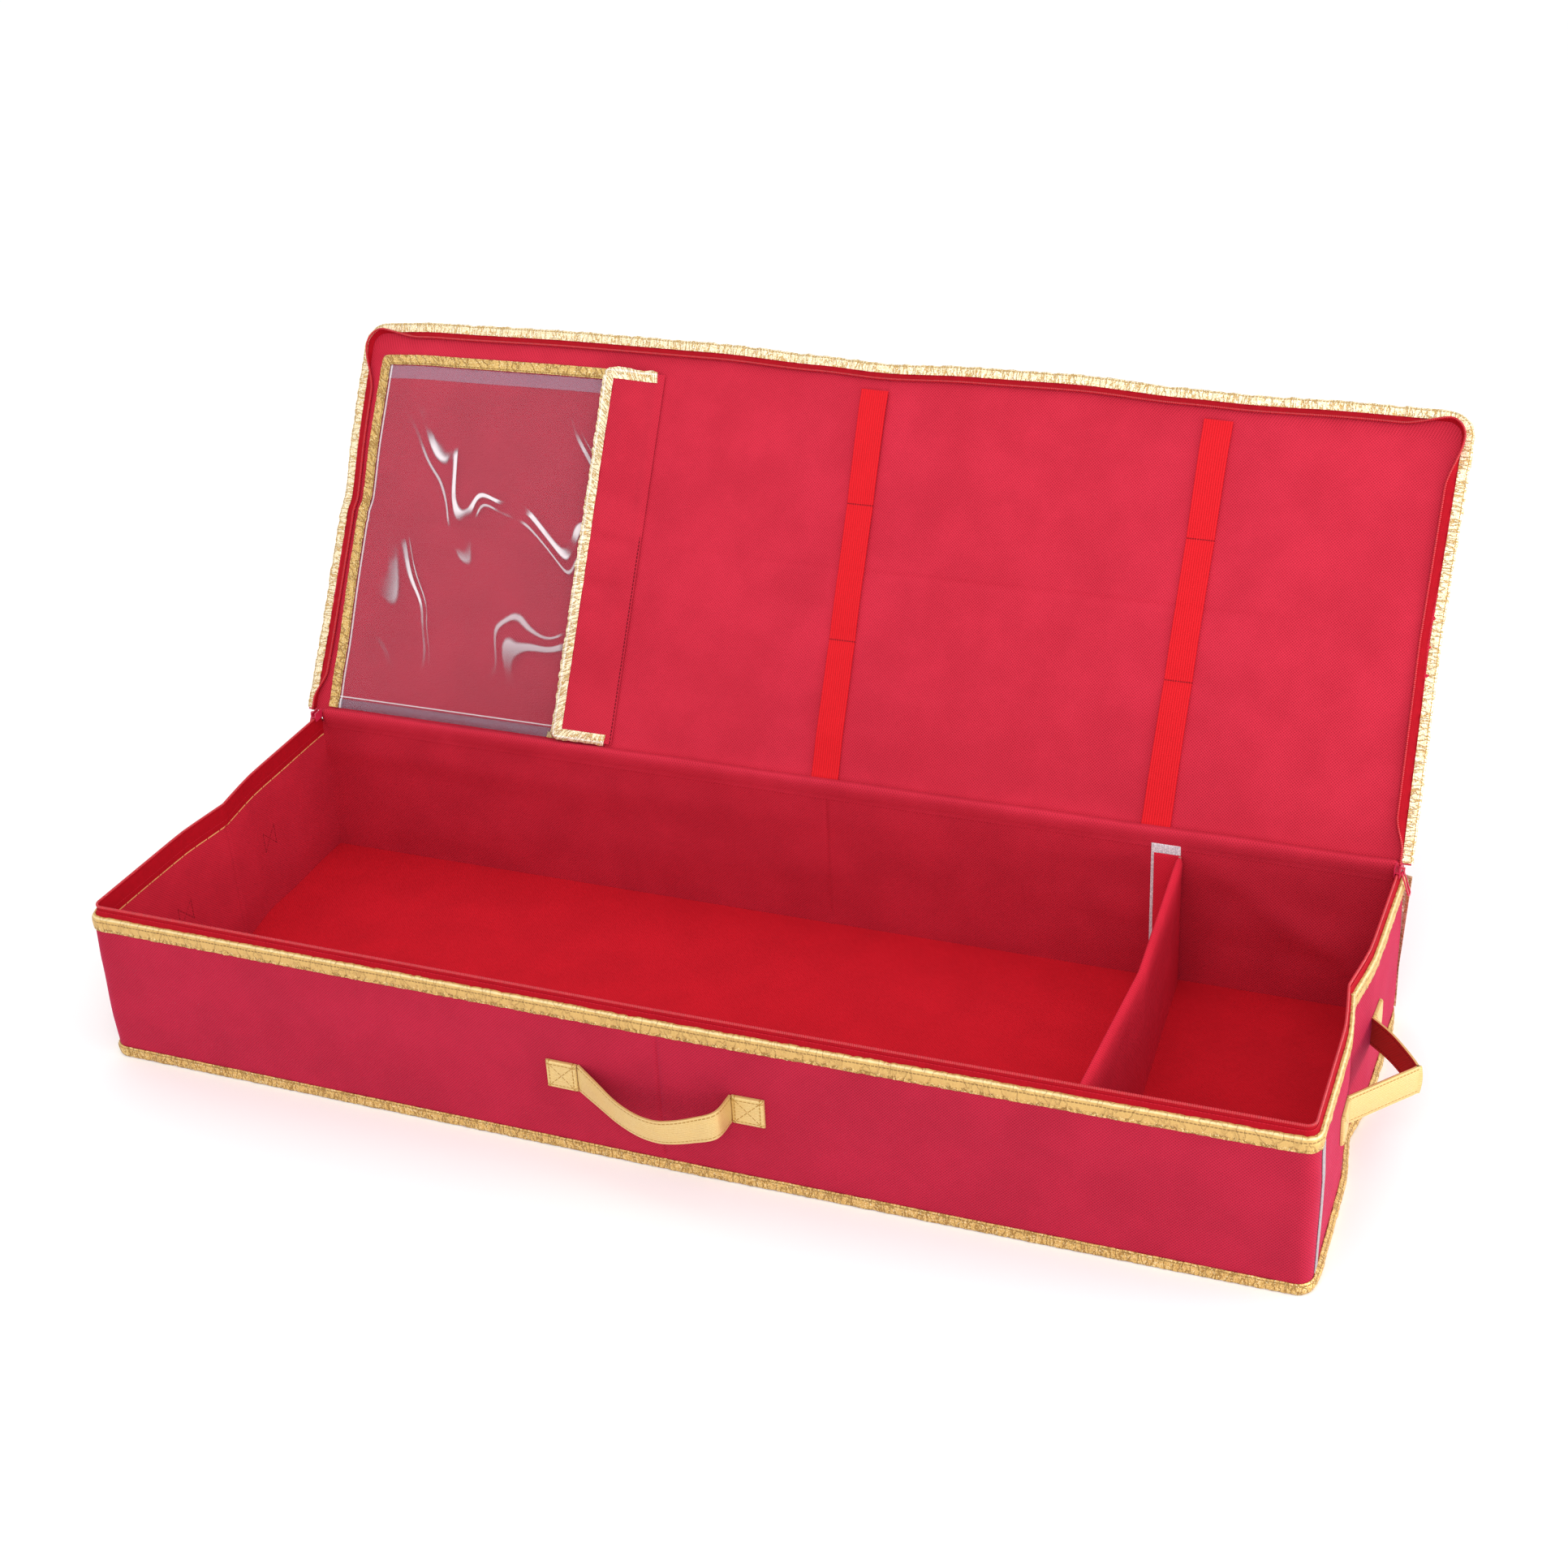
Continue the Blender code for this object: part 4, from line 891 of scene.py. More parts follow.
# %% [markdown]
# ## Tape along a rail
# A binding is the same everywhere along its rail, so it needs only its section: a short line drawn as
# pairs of inset and height. That line is a rail too, so its left side is the tape's outer face.
# Crinkles are real here: noise lifts the tape by fractions of a millimetre, more where it turns.

# %% A tape swept along a rail
def section_rail(*pairs):
    """A tape's section from pairs of inset and height; its left is the tape's outer face."""
    return Rail([Vector(pair) for pair in pairs])


def crinkle(along, across, seed, size, height):
    """Small sharp folds of a metallic tape, from 0 to a height."""
    level = noise.turbulence(Vector((along / size, across / size * 0.35, seed)), 2, False)
    return height * min(level * 1.2, 1.0)


def side_wall_share(along):
    """1 well inside the two side walls, 0 on the front and the back."""
    left = held_down(along, 0.01, front_corner_left, 0.03)
    return left + held_down(along, front_corner_right, rim_rail.length, 0.03)


def lay_tape(name, rail, section, thickness, finish, spacing, rows, folds=(0.004, 0.0), flare=0.0):
    """A tape that follows a rail with its section, crinkled by folds = (size, height), flared at the sides."""
    def place(along, across, lift):
        rise = crinkle(along, across, len(name) * 1.7, folds[0], folds[1])
        inset, height = section.at(across, lift + rise)
        outward = flare * side_wall_share(along) * math.sin(math.pi * across / section.length)
        point = rail.at(along, inset + crease_dip(along, 0.0006, 0.0012) - outward)
        return Vector((point.x, point.y, height))
    return lay_cloth(name, rail.stations(spacing), even(0.0, section.length, rows), place, thickness, finish)


print("The side walls flare from", round(front_corner_right, 3), "m to", round(rim_rail.length, 3), "m")

# %% Gold tape on the rim and round the foot
rim_outside = -(seam_gap + binding * 0.4)
gold_thickness = binding * 0.7
rim_section = section_rail(
    (-seam_gap, wall_height - rim_binding_width), (rim_outside, wall_height - 0.0062),
    (-seam_gap, wall_height - 0.0009), (0.0006, wall_height + 0.0003), (0.0020, wall_height + 0.0004))
rim_tape = lay_tape(
    "rim_tape", rim_rail, rim_section, gold_thickness, rim_gold, spacing=0.0022, rows=12, folds=(0.0045, 0.0006))
settle(rim_tape, "case", "gold_binding", "top_binding")

foot_section = section_rail(
    (-0.0002, 0.0005), (rim_outside, 0.0020), (rim_outside, 0.0082), (-0.0002, foot_binding_width))
foot_tape = lay_tape(
    "foot_tape", case_rail, foot_section, gold_thickness, foot_gold, spacing=0.0024, rows=8,
    folds=(0.0050, 0.0005), flare=0.0034)
settle(foot_tape, "case", "gold_binding", "bottom_binding")

# %% [markdown]
# ## The zip on the case
# A zip is two cloth tapes, each with a row of teeth. On this case the tape stands up inside the gold
# rim. The teeth are a nylon coil, which reads as a beaded cord: a tube along the rail whose section
# grows and shrinks once for each tooth is enough, and keeps more than a thousand teeth light.

# %% A row of coil teeth
def lay_chain(name, rail, inset, middle, finish, ends=(0.0, 0.0), seat=None, lean=None):
    """A beaded row of coil teeth along a rail, which may lean in; seat(point) may carry it elsewhere."""
    pitch, around, waist = 0.0017, 8, 0.66
    lean_in, lean_up = 1.15, 0.50
    half_width, half_height = chain_width / 2, chain_height / 2
    steps = int((rail.length - ends[0] - ends[1]) / (pitch / 3))
    shape = bmesh.new()
    bmesh.ops.create_grid(shape, x_segments=steps, y_segments=around, size=0.5)
    cut = shape.loops.layers.uv.new("cut")
    for vert in shape.verts:
        column = round((vert.co.x + 0.5) * steps)
        angle = (vert.co.y + 0.5) * 2 * math.pi
        along = ends[0] + column * pitch / 3
        bead = 1.0 if column % 3 else waist
        side, rise = half_width * bead * math.cos(angle), half_height * bead * math.sin(angle)
        leaning = lean(along) if lean else 0.0
        point = rail.at(along, inset + side + leaning * lean_in)
        vert.co = (point.x, point.y, middle + rise + leaning * lean_up)
    for face in shape.faces:
        for loop in face.loops:
            loop[cut].uv = (loop.vert.co.x, loop.vert.co.y)
    bmesh.ops.remove_doubles(shape, verts=shape.verts, dist=0.00001)
    bmesh.ops.holes_fill(shape, edges=[edge for edge in shape.edges if edge.is_boundary])
    if seat:
        for vert in shape.verts:
            vert.co = seat(vert.co)
    bmesh.ops.recalc_face_normals(shape, faces=shape.faces)
    return keep_shape(name, shape, finish)


print("The teeth are", chain_width * 1000, "mm wide and", chain_height * 1000, "mm high")

# %% The case's half of the zip
zip_reach = 0.0012
tape_section = section_rail(
    (inner_inset, wall_height - rim_binding_width), (inner_inset, zip_tape_top + zip_reach))
case_zip_tape = lay_tape(
    "case_zip_tape", rim_rail, tape_section, -zip_tape, red_zip_tape, spacing=0.005, rows=6)
settle(case_zip_tape, "case", "zip_tape", "base_zipper_tape")
zip_foot_section = section_rail(
    (0.0016, wall_height + 0.0002), (0.0030, wall_height + 0.0012), (0.0042, zip_tape_top - zip_reach))
case_zip_foot = lay_tape(
    "case_zip_foot", rim_rail, zip_foot_section, 0.0003, red_zip_tape, spacing=0.005, rows=4)
settle(case_zip_foot, "case", "zip_tape", "base_zipper_tape")
row_raise = 0.0004


def raised_row(point):
    """The row of teeth stands a little higher in front of the sliders, where its tape is slack."""
    return Vector((point.x, point.y, point.z + row_raise * eased((0.06 - point.y) / 0.05)))


case_chain = lay_chain("case_chain", rim_rail, chain_inset, chain_low + chain_height / 2, red_chain, seat=raised_row)
settle(case_chain, "case", "zip_chain", "base_zipper_chain")

# %% [markdown]
# ## Where things lie on the open lid
# The lid was drawn closed and then turned about its hinge line, so everything on it can be placed by
# three plain numbers: along the case, up from the hinge, and out from the lining. The free edge of a
# real lid waves: it was measured against a straight line, and every layer of the lid shares that wave.

# %% Points on the lid
free_edge_rise = (
    (-0.52, 0.0), (-0.44, 0.0048), (-0.30, 0.0068), (-0.16, 0.0064), (-0.06, 0.0026), (0.005, 0.0),
    (0.09, 0.0030), (0.18, 0.0037), (0.28, -0.0006), (0.34, -0.0020), (0.415, -0.0008), (0.52, -0.0018))
left_edge_rise = (
    (0.0, 0.0110), (0.08, 0.0100), (0.165, 0.0102), (0.194, 0.0104), (0.212, 0.0074), (0.27, 0.0086),
    (0.39, 0.0068))


def between(pairs, value):
    """A smooth line through a few measured pairs."""
    for (start, low), (end, high) in zip(pairs, pairs[1:]):
        if value <= end:
            return low + (high - low) * eased((value - start) / (end - start))
    return pairs[-1][1]


def lid_spot(x, up, height):
    """A point on the lid: along the case, up from the hinge, and out from the lining."""
    top_share = min(max(up / -lid_front_y, 0.0), 1.1) ** 3
    left_share = min(max((-x - 0.30) / 0.2, 0.0), 1.0)
    moved_x = x - between(left_edge_rise, up) * left_share
    moved_up = up + between(free_edge_rise, x) * top_share
    return lid_place @ Vector((moved_x, -moved_up, lid_face - height))


print("The middle of the free edge is at", lid_spot(0.0, -lid_front_y, 0.0).to_tuple(3))

# %% Swell of the lid's lining
lid_crease_up = 0.192
flap_x = -0.207


def lining_rise(x, up):
    """How far the lid's lining stands off its board: slow swell, less a crease across the middle."""
    edge = held_down(up, 0.012, -lid_front_y - 0.012, 0.03) * held_down(x, -half_length, half_length, 0.03)
    edge *= min(max(abs(x - flap_x) - 0.006, 0.0) / 0.024, 1.0)
    crease = math.exp(-((up - lid_crease_up) / 0.0032) ** 2) * (0.6 + 0.4 * math.sin(x * 9.0))
    fold = math.exp(-((x - crease_x) / 0.0024) ** 2)
    rise = 0.0009 + swell(x, up * 1.3, 11.0, 0.085, 0.0022)
    return edge * max(rise - 0.0014 * crease - 0.0013 * fold, 0.0)


print("The lining swells", round(lining_rise(0.15, 0.10) * 1000, 1), "mm at one place between the elastic straps")


# %% A sheet cut to the lid
def lid_half(up, inset):
    """Half the lid's width at a distance up from the hinge, with its round corners."""
    y = min(abs(hinge_y - up), half_depth)
    lost = rounded_reach(-lid_front_y - inset - up, lid_corner_radius + lid_overhang - inset)
    return half_length - side_pull_at(y, lid_side_pull) + lid_overhang - inset - lost


def closer(marks, place, step):
    """Marks with more of them on both sides of a place."""
    kept = [mark for mark in marks if abs(mark - place) > 4.6 * step]
    return sorted(kept + [place + count * step for count in range(-4, 5)])


def lay_lid_sheet(name, inset, height_at, finish, columns, rows):
    """A sheet cut to the lid; height_at(x, up, lift) gives its distance from the lining."""
    def place(side, forward, lift):
        up = -lid_rear_y + forward * (-lid_front_y - inset + lid_rear_y)
        x = side * lid_half(up, inset)
        return lid_spot(x, up, height_at(x, up, lift))
    shares = [math.sin(share * math.pi / 2) ** 0.9 if share > 0.94 else share for share in even(0.0, 1.0, rows)]
    fold_share, crease_share = crease_x / half_length, lid_crease_up / -lid_front_y
    across_marks = closer(even(-1.0, 1.0, columns), fold_share, 0.0012 / half_length)
    up_marks = closer(sorted(shares), crease_share, 0.0014 / -lid_front_y)
    piece = lay_cloth(name, across_marks, up_marks, place, cloth, finish)
    scale_cut(piece, half_length, -lid_front_y)
    return piece


print("The lid is", round(2 * lid_half(0.1, 0.0), 3), "m wide a hand's breadth above its hinge")


# %% Lid lining and cover
def lid_lining_height(x, up, lift):
    """The lining, with its soft swell."""
    return lining_rise(x, up) + lift - cloth


def lid_cover_height(x, up, lift):
    """The outer cloth, which swells the other way."""
    free = held_down(up, 0.02, -lid_front_y - 0.012, 0.04) * held_down(x, -half_length, half_length, 0.04)
    return lid_face - lid_cover_low - lift - swell(x, up, 17.0, 0.08, 0.0016) * free


lid_lining = lay_lid_sheet(
    "lid_lining_cloth", lid_panel_inset, lid_lining_height, lining_cloth, columns=170, rows=64)
settle(lid_lining, "lid", "lining_cloth", "lid_lining")
lid_cover = lay_lid_sheet(
    "lid_cover_cloth", lid_panel_inset, lid_cover_height, cover_cloth, columns=130, rows=50)
settle(lid_cover, "lid", "cover_cloth", "lid_cover")

# %% [markdown]
# ## The cloth hinge
# Nothing rigid joins the lid to the case: lining and cover run on from the back wall over the hinge
# bead and up the lid. That cloth belongs to both bodies, so it is blended: its lower edge stays with
# the case, its upper edge goes with the lid, and it bends smoothly between them when the lid closes.

# %% A soft line through points
def smooth_run(points, steps):
    """A soft line through points, each stretch bent by its neighbours."""
    padded_points = [points[0] * 2 - points[1]] + points + [points[-1] * 2 - points[-2]]
    found = []
    for index in range(len(points) - 1):
        before, here, onward, beyond = padded_points[index:index + 4]
        for step in range(steps):
            share = step / steps
            bend = here * 2 + (onward - before) * share + (before * 2 - here * 5 + onward * 4 - beyond) * share ** 2
            found.append((bend + (here * 3 - before - onward * 3 + beyond) * share ** 3) / 2)
    return found + [points[-1]]


print("A soft line through 0, 1 and 4:", smooth_run([0.0, 1.0, 4.0], 2))

# %% Hinge cloth, inside and outside
bead_middle = Vector((0.1916, 0.1467))
end_steps = (0.0, 0.0007, 0.0016, 0.0027, 0.0040, 0.0055)


def lay_hinge_cloth(name, profile, side, half_width, finish):
    """Cloth with one profile of (y, z) pairs all along the hinge, lifted to one side of it."""
    line = Rail(smooth_run([Vector(pair) for pair in profile], 6))

    def place(along, across, lift):
        wave = 0.0005 * math.sin(along * 37.0) * math.sin(math.pi * across / line.length)
        point = line.at(across, side * (lift + wave + 0.0005))
        pinched = 0.35 * (1 - eased((half_width - abs(along)) / 0.0055)) ** 2
        y, z = point + (bead_middle - point) * pinched
        return Vector((along, y, z))

    end_marks = [half_width - step for step in end_steps]
    columns = sorted([-mark for mark in end_marks] + even(0.0075 - half_width, half_width - 0.0075, 196) + end_marks)
    return lay_cloth(name, columns, line.stations(0.002), place, side * cloth, finish)


lining_profile = (
    (0.1868, 0.1350), (0.1862, 0.1385), (0.1852, 0.1425), (0.1846, 0.1480), (0.1858, 0.1516), (0.1890, 0.1518),
    (0.1928, 0.1503), (0.1955, 0.1488), (0.1975, 0.1480))
cover_profile = (
    (0.1907, 0.1300), (0.1907, 0.1390), (0.1927, 0.1418), (0.1957, 0.1420), (0.1988, 0.1436), (0.2018, 0.1478),
    (0.2051, 0.1540))
hinge_lining = lay_hinge_cloth("hinge_lining", lining_profile, 1.0, half_length - 0.0055, lining_cloth)
hinge_cover = lay_hinge_cloth("hinge_cover", cover_profile, -1.0, half_length - 0.0105, cover_cloth)
for hinge_cloth in (hinge_lining, hinge_cover):
    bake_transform(hinge_cloth, "case", "lid", start=(0.0, 0.1875, 0.1460), end=(0.0, 0.1985, 0.1545))
    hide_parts("hinge_strip")
print("Hinge cloth bends between the case and the lid")

# %% [markdown]
# ## The roll inside the hinge
# The two hinge cloths turn over a roll of cloth that is sewn along the back wall. It is laid like any
# other strip, with its width wound once round the roll and its ends drawn in to a point.

# %% Roll inside the hinge
bead_radius, bead_half = 0.0042, half_length - 0.0020


def bead_place(along, across, lift):
    """A roll of cloth inside the hinge, rounded off at its ends."""
    from_tip = min(max((bead_half - abs(along)) / bead_radius, 0.0), 1.0)
    size = (bead_radius + lift) * max(math.sqrt(1 - (1 - from_tip) ** 2), 0.04)
    turn = across / bead_radius
    return Vector((along, bead_middle.x + size * math.cos(turn), bead_middle.y + size * math.sin(turn)))


tip_steps = (0.0, 0.0001, 0.0004, 0.0010, 0.0018, 0.0029, 0.0042)
tip_marks = [bead_half - step for step in tip_steps]
hinge_roll = lay_cloth(
    "hinge_roll", sorted([-mark for mark in tip_marks] + even(-0.5, 0.5, 60) + tip_marks),
    even(0.0, math.tau * bead_radius, 20), bead_place, -cloth, cover_cloth)
settle(hinge_roll, "case", "cover_cloth", "hinge_strip")

# %% [markdown]
# ## Gold edge and zip of the lid
# The lid's edge is a rail of its own, drawn with the lid closed and seated on the lid afterwards.
# Its tape is folded round the edge, so its section runs in along the lining, round, and back outside.

# %% Lid rail
def make_lid_rail():
    """The lid's edge from its rear left end round the front to its rear right end."""
    front = -half_depth - hinge_y
    hinge_shift = Vector((0.0, hinge_y))
    left = [point - hinge_shift for point in side_line(-1.0, half_depth, -half_depth + 0.02, lid_side_pull)]
    right = [point - hinge_shift for point in side_line(1.0, -half_depth + 0.02, half_depth, lid_side_pull)]
    front_left, front_right = Vector((-half_length, front)), Vector((half_length, front))
    run = left[:-1] + quarter_turn(front_left, left[-2], front_right, lid_corner_radius, 10)
    run += [Vector((crease_x, front))] + quarter_turn(front_right, front_left, right[1], lid_corner_radius, 10)
    return Rail(run + right[1:])


lid_rail = make_lid_rail()
print("Edge of the lid:", round(lid_rail.length, 3), "m")


# %% Gold tape on the lid's edge
def lay_lid_tape(name, section, thickness, finish, spacing, rows, folds, start):
    """A tape along the lid's edge; its section is given by inset and closed height."""
    def place(along, across, lift):
        ends = 1.0 + 0.7 * math.exp(-min(along - start, lid_rail.length - start - along) / 0.02)
        rise = crinkle(along, across, len(name) * 1.7, folds[0], folds[1] * ends)
        inset, height = section.at(across, lift + rise)
        point = lid_rail.at(along, inset - lid_overhang)
        return lid_spot(point.x, -point.y, lid_face - height)
    columns = lid_rail.stations(spacing, start, lid_rail.length - start)
    return lay_cloth(name, columns, even(0.0, section.length, rows), place, thickness, finish)


lid_edge_section = section_rail(
    (0.0085, 0.0086), (0.0012, 0.0086), (0.0002, 0.0094), (0.0001, 0.0124), (0.0012, 0.0131), (0.0085, 0.0131))
lid_edge_tape = lay_lid_tape(
    "lid_edge_tape", lid_edge_section, 0.0007, edge_gold, spacing=0.0022, rows=20, folds=(0.0060, 0.0008),
    start=0.0060)
settle(lid_edge_tape, "lid", "gold_binding", "lid_binding")

# %% Zip tape and teeth of the lid
side_run = lid_rail.length / 2 - half_length
side_lean, front_lean, corner_lean = 0.0064, 0.0045, 0.0024


def lid_zip_lean(along):
    """How far the open zip leans in over the lining: upright at its ends, leaning out at the corners."""
    from_end = min(along, lid_rail.length - along)
    from_corner = eased((abs(from_end - side_run) - 0.010) / 0.045)
    full = side_lean if from_end < side_run else front_lean
    return full * eased((from_end - 0.014) / 0.030) * from_corner - corner_lean * (1 - from_corner)


def lid_zip_place(along, across, lift):
    """The zip tape of the lid, from its seam to its teeth."""
    share = across / (lid_tape_high - lid_tape_low)
    lean = lid_zip_lean(along)
    point = lid_rail.at(along, lid_tape_inset - lid_overhang + lean * share + lift)
    return lid_spot(point.x, -point.y, lid_face - lid_tape_high + across * (1 - lean * 60.0))


lid_zip_tape = lay_cloth(
    "lid_zip_tape", lid_rail.stations(0.005, 0.004, lid_rail.length - 0.004),
    even(0.0, lid_tape_high - lid_tape_low, 5), lid_zip_place, zip_tape, red_zip_tape)
settle(lid_zip_tape, "lid", "zip_tape", "lid_zipper_tape")


def seat_on_lid(point):
    """Carry a point of the closed lid onto the open, waving one."""
    return lid_spot(point.x, -point.y, lid_face - point.z)


lid_chain = lay_chain(
    "lid_chain", lid_rail, lid_chain_inset - lid_overhang, lid_chain_low + chain_height / 2, red_chain,
    ends=(0.004, 0.004), seat=seat_on_lid, lean=lid_zip_lean)
settle(lid_chain, "lid", "zip_chain", "lid_zipper_chain")

# %% [markdown]
# ## Elastic straps
# Two straps cross the lid from hinge to free edge. Each is a flat band that leans a little, lies on the
# swell of the lining, and is tacked down by two rows of cross stitches, which are in its finish.

# %% Elastic straps on the lining
def lay_elastic(name, foot_x, head_x):
    """A band between its foot and its head, slightly narrower where it is stretched."""
    foot, head, half, thickness = 0.004, 0.356, webbing_width / 2, 0.0011

    def place(along, across, lift):
        share = along / (head - foot)
        middle = foot_x + (head_x - foot_x) * share
        pinch = 1.0 - 0.05 * math.sin(math.pi * share)
        x = middle + (across - half) * pinch
        tacked = min(abs(along - tack) for tack in elastic_tacks) / 0.012
        rise = lining_rise(middle, foot + along) + 0.0009 * min(tacked, 1.0) ** 2
        return lid_spot(x, foot + along, seam_gap + rise + lift)

    piece = lay_cloth(name, even(0.0, head - foot, 110), even(0.0, webbing_width, 8), place, thickness, red_elastic)
    settle(piece, "lid", "elastic_band", "elastic_strap_" + name.split("_")[0])


lay_elastic("left_elastic", foot_x=0.0040, head_x=-0.0015)
lay_elastic("right_elastic", foot_x=0.3063, head_x=0.3101)

# %% [markdown]
# ## The clear pocket
# Thin vinyl shows itself by its creases and its reflections. The window is one soft sheet, sewn on
# three sides and lifted towards its open mouth, with long folds running down from its top hem.
# The finish is nearly clear when seen square on and mirrors the lights when seen at a slant; its winding glints and
# bright edge lines are painted highlights in its colour.

# %% Clear vinyl
def clear_film(name):
    """Soft clear vinyl: a faint veil, a hazy double hem, painted highlights on its edges and a few painted winding
    glints.
    """
    finish = Finish(name)
    along, across = cut_place(finish)
    facing = finish.node("ShaderNodeLayerWeight", None, {"Blend": 0.25}, "Facing")
    slanted = {"X": along * 11.0, "Y": across * 6.5 + along * 5.0, "Z": 3.3}
    stretched = finish.node("ShaderNodeCombineXYZ", None, slanted)
    winding = {"Vector": stretched, "Scale": 1.0, "Detail": 1.0, "Distortion": 0.7}
    waves = finish.node("ShaderNodeTexNoise", None, winding)
    window = ramped(across, 0.040, 0.110) * (1 - ramped(across, 0.255, 0.300)) * ramped(along, 0.030, 0.070)
    # painted reflections: winding glints whitened into the film's colour and opacity
    glints = near(waves, 0.545, 0.016, 0.006) + near(waves, 0.480, 0.007, 0.004) * 0.7
    glints = glints * window * ramped(speckle(finish, 0.050, 1.0), 0.40, 0.52)
    top_hem, low_hem = near(across, 0.3275, 0.0062, 0.0004), near(across, 0.0040, 0.0048, 0.0005)
    hem = top_hem + low_hem * 0.45
    # painted highlight: bright lines along the film's left and lower edges
    edge = near(along, 0.0112, 0.0008, 0.0005) + near(across, 0.0112, 0.0006, 0.0004)
    bright = (glints + edge).maths("MINIMUM", 1.0)
    veil = mixed(finish, hem, paint(116, 120, 134), paint(158, 162, 182))
    haze = glints * 0.54 + hem * 0.13 + edge * 0.34 + facing * 0.04 + 0.10
    finish.dress(Base_Color=mixed(finish, bright, veil, paint(252, 246, 250)), Alpha=haze.maths("MINIMUM", 0.9))
    finish.dress(Roughness=glints * 0.10 + 0.06, Specular_IOR_Level=0.4, Coat_Weight=0.2, Coat_Roughness=0.04)
    return finish.emboss(speckle(finish, 0.016, 2.0) * 0.0012 + glints * 0.0006 + hem * 0.0003)


vinyl_film = clear_film("vinyl_film")
print("Clear finish:", vinyl_film.material.name)

# %% The pocket's film
pocket_left, pocket_right = -0.498, -0.259
pocket_foot, pocket_top = 0.006, 0.350
pocket_hem = 0.0095
film_thickness = 0.0005


def pocket_rise(x, up):
    """How far the film stands off the lining, as in the solid, with long soft folds added."""
    across = (x - pocket_left - pocket_hem) / (pocket_right - pocket_left - pocket_hem)
    share = (up - pocket_foot - pocket_hem) / (pocket_top - pocket_foot - 2 * pocket_hem)
    if across <= 0.0 or share <= 0.0 or share >= 1.0:
        return seam_gap
    fullness = math.sin(math.pi * 0.6 * across) * math.sin(math.pi * share) ** 0.5
    folds = 0.5 + 0.5 * noise.noise(Vector((x * 34.0, up * 7.0, 2.0)))
    return seam_gap + fullness * (0.0078 + 0.0022 * folds)


def pocket_place(along, across, lift):
    """The film, on the swell of the lining under it."""
    x, up = pocket_left + along, pocket_foot + across
    return lid_spot(x, up, max(pocket_rise(x, up), lining_rise(x, up) + seam_gap) + lift)


pocket_film = lay_cloth(
    "pocket_film", even(0.0, pocket_right - pocket_left, 60), even(0.0, pocket_top - pocket_foot, 84),
    pocket_place, film_thickness, vinyl_film)
settle(pocket_film, "lid", "clear_vinyl", "pocket_window")

# %% [markdown]
# ## The clear hem at the pocket's foot
# The foot of the pocket has no gold tape: the vinyl itself is folded double there, and it stands off the
# lid a little between its ends. A narrow second sheet over the film gives the paler band and the sag.

# %% Clear hem at the pocket's foot
hem_left, hem_right = pocket_left + pocket_hem - 0.001, pocket_right - 0.006


def foot_hem_place(along, across, lift):
    """The film's foot, folded double and sagging off the lid between its ends."""
    share = (along - hem_left + pocket_left) / (hem_right - hem_left)
    sag = 0.0030 * math.sin(math.pi * min(max(share, 0.0), 1.0)) ** 0.5 * math.sin(math.pi * across / pocket_hem)
    x, up = pocket_left + along, pocket_foot + across
    wrinkle = 0.0005 * noise.noise(Vector((x * 60.0, up * 90.0, 5.0)))
    return lid_spot(x, up, 0.0012 + max(lining_rise(x, up), 0.0002) + sag + wrinkle + lift)


foot_hem = lay_cloth(
    "pocket_foot_hem", even(hem_left - pocket_left, hem_right - pocket_left, 90), even(0.0, pocket_hem, 8),
    foot_hem_place, film_thickness, vinyl_film)
settle(foot_hem, "lid", "clear_vinyl", "pocket_binding")

# %% [markdown]
# ## Gold tape round the pocket
# One run of tape covers the sewn edge on the left and along the top, and a short end of tape locks the
# foot beside the mouth. The square corner of the run is mapped onto a quarter of a disc to round it.

# %% Gold tape round the pocket
pocket_line = Rail([
    Vector((pocket_left, pocket_foot)), Vector((pocket_left, pocket_top)), Vector((pocket_right, pocket_top))])
pocket_end_line = Rail([Vector((pocket_right, pocket_foot)), Vector((pocket_right - 0.015, pocket_foot))])


def softened(x, up, corner_x, corner_up, side, facing, radius=0.0060):
    """Round a square corner: the square beside it is mapped onto a quarter of a disc."""
    u = 1 - (corner_x - x) * side / radius
    v = 1 - (corner_up - up) * facing / radius
    if u <= 0.0 or v <= 0.0:
        return x, up
    rounder_u, rounder_v = u * math.sqrt(max(1 - v * v / 2, 0.0)), v * math.sqrt(max(1 - u * u / 2, 0.0))
    return corner_x - side * radius * (1 - rounder_u), corner_up - facing * radius * (1 - rounder_v)


def lay_pocket_tape(name, line, width):
    """Tape over the sewn edge of the film, crinkled as it turns its corner."""

    def place(along, across, lift):
        x, up = line.at(along, -across)
        x, up = softened(x, up, pocket_left, pocket_top, -1.0, 1.0)
        rise = crinkle(along, across, 3.1, 0.0048, 0.0008)
        return lid_spot(x, up, 0.0011 + max(lining_rise(x, up), 0.0002) + rise + lift)

    tape = lay_cloth(name, line.stations(0.0022), even(0.0, width, 6), place, 0.0007, pocket_gold)
    settle(tape, "lid", "gold_binding", "pocket_binding")


lay_pocket_tape("pocket_tape", pocket_line, pocket_hem)
lay_pocket_tape("pocket_tape_end", pocket_end_line, 0.0055)

# %% [markdown]
# ## The flap over the pocket
# A strip of lining cloth is sewn to the lid beyond the pocket's mouth and folds over it. It turns on
# its own line of stitches, so it is built flat in that line's own space, then turned and carried there.

# %% The flap's own space
flap_axis_height, flap_reach = 0.0011, 0.0586
flap_lean = math.radians(12.17)
flap_place = lid_place @ Matrix.Translation((flap_x, 0.0, lid_face - flap_axis_height))
flap_place = flap_place @ Matrix.Rotation(-flap_lean, 4, "Y")


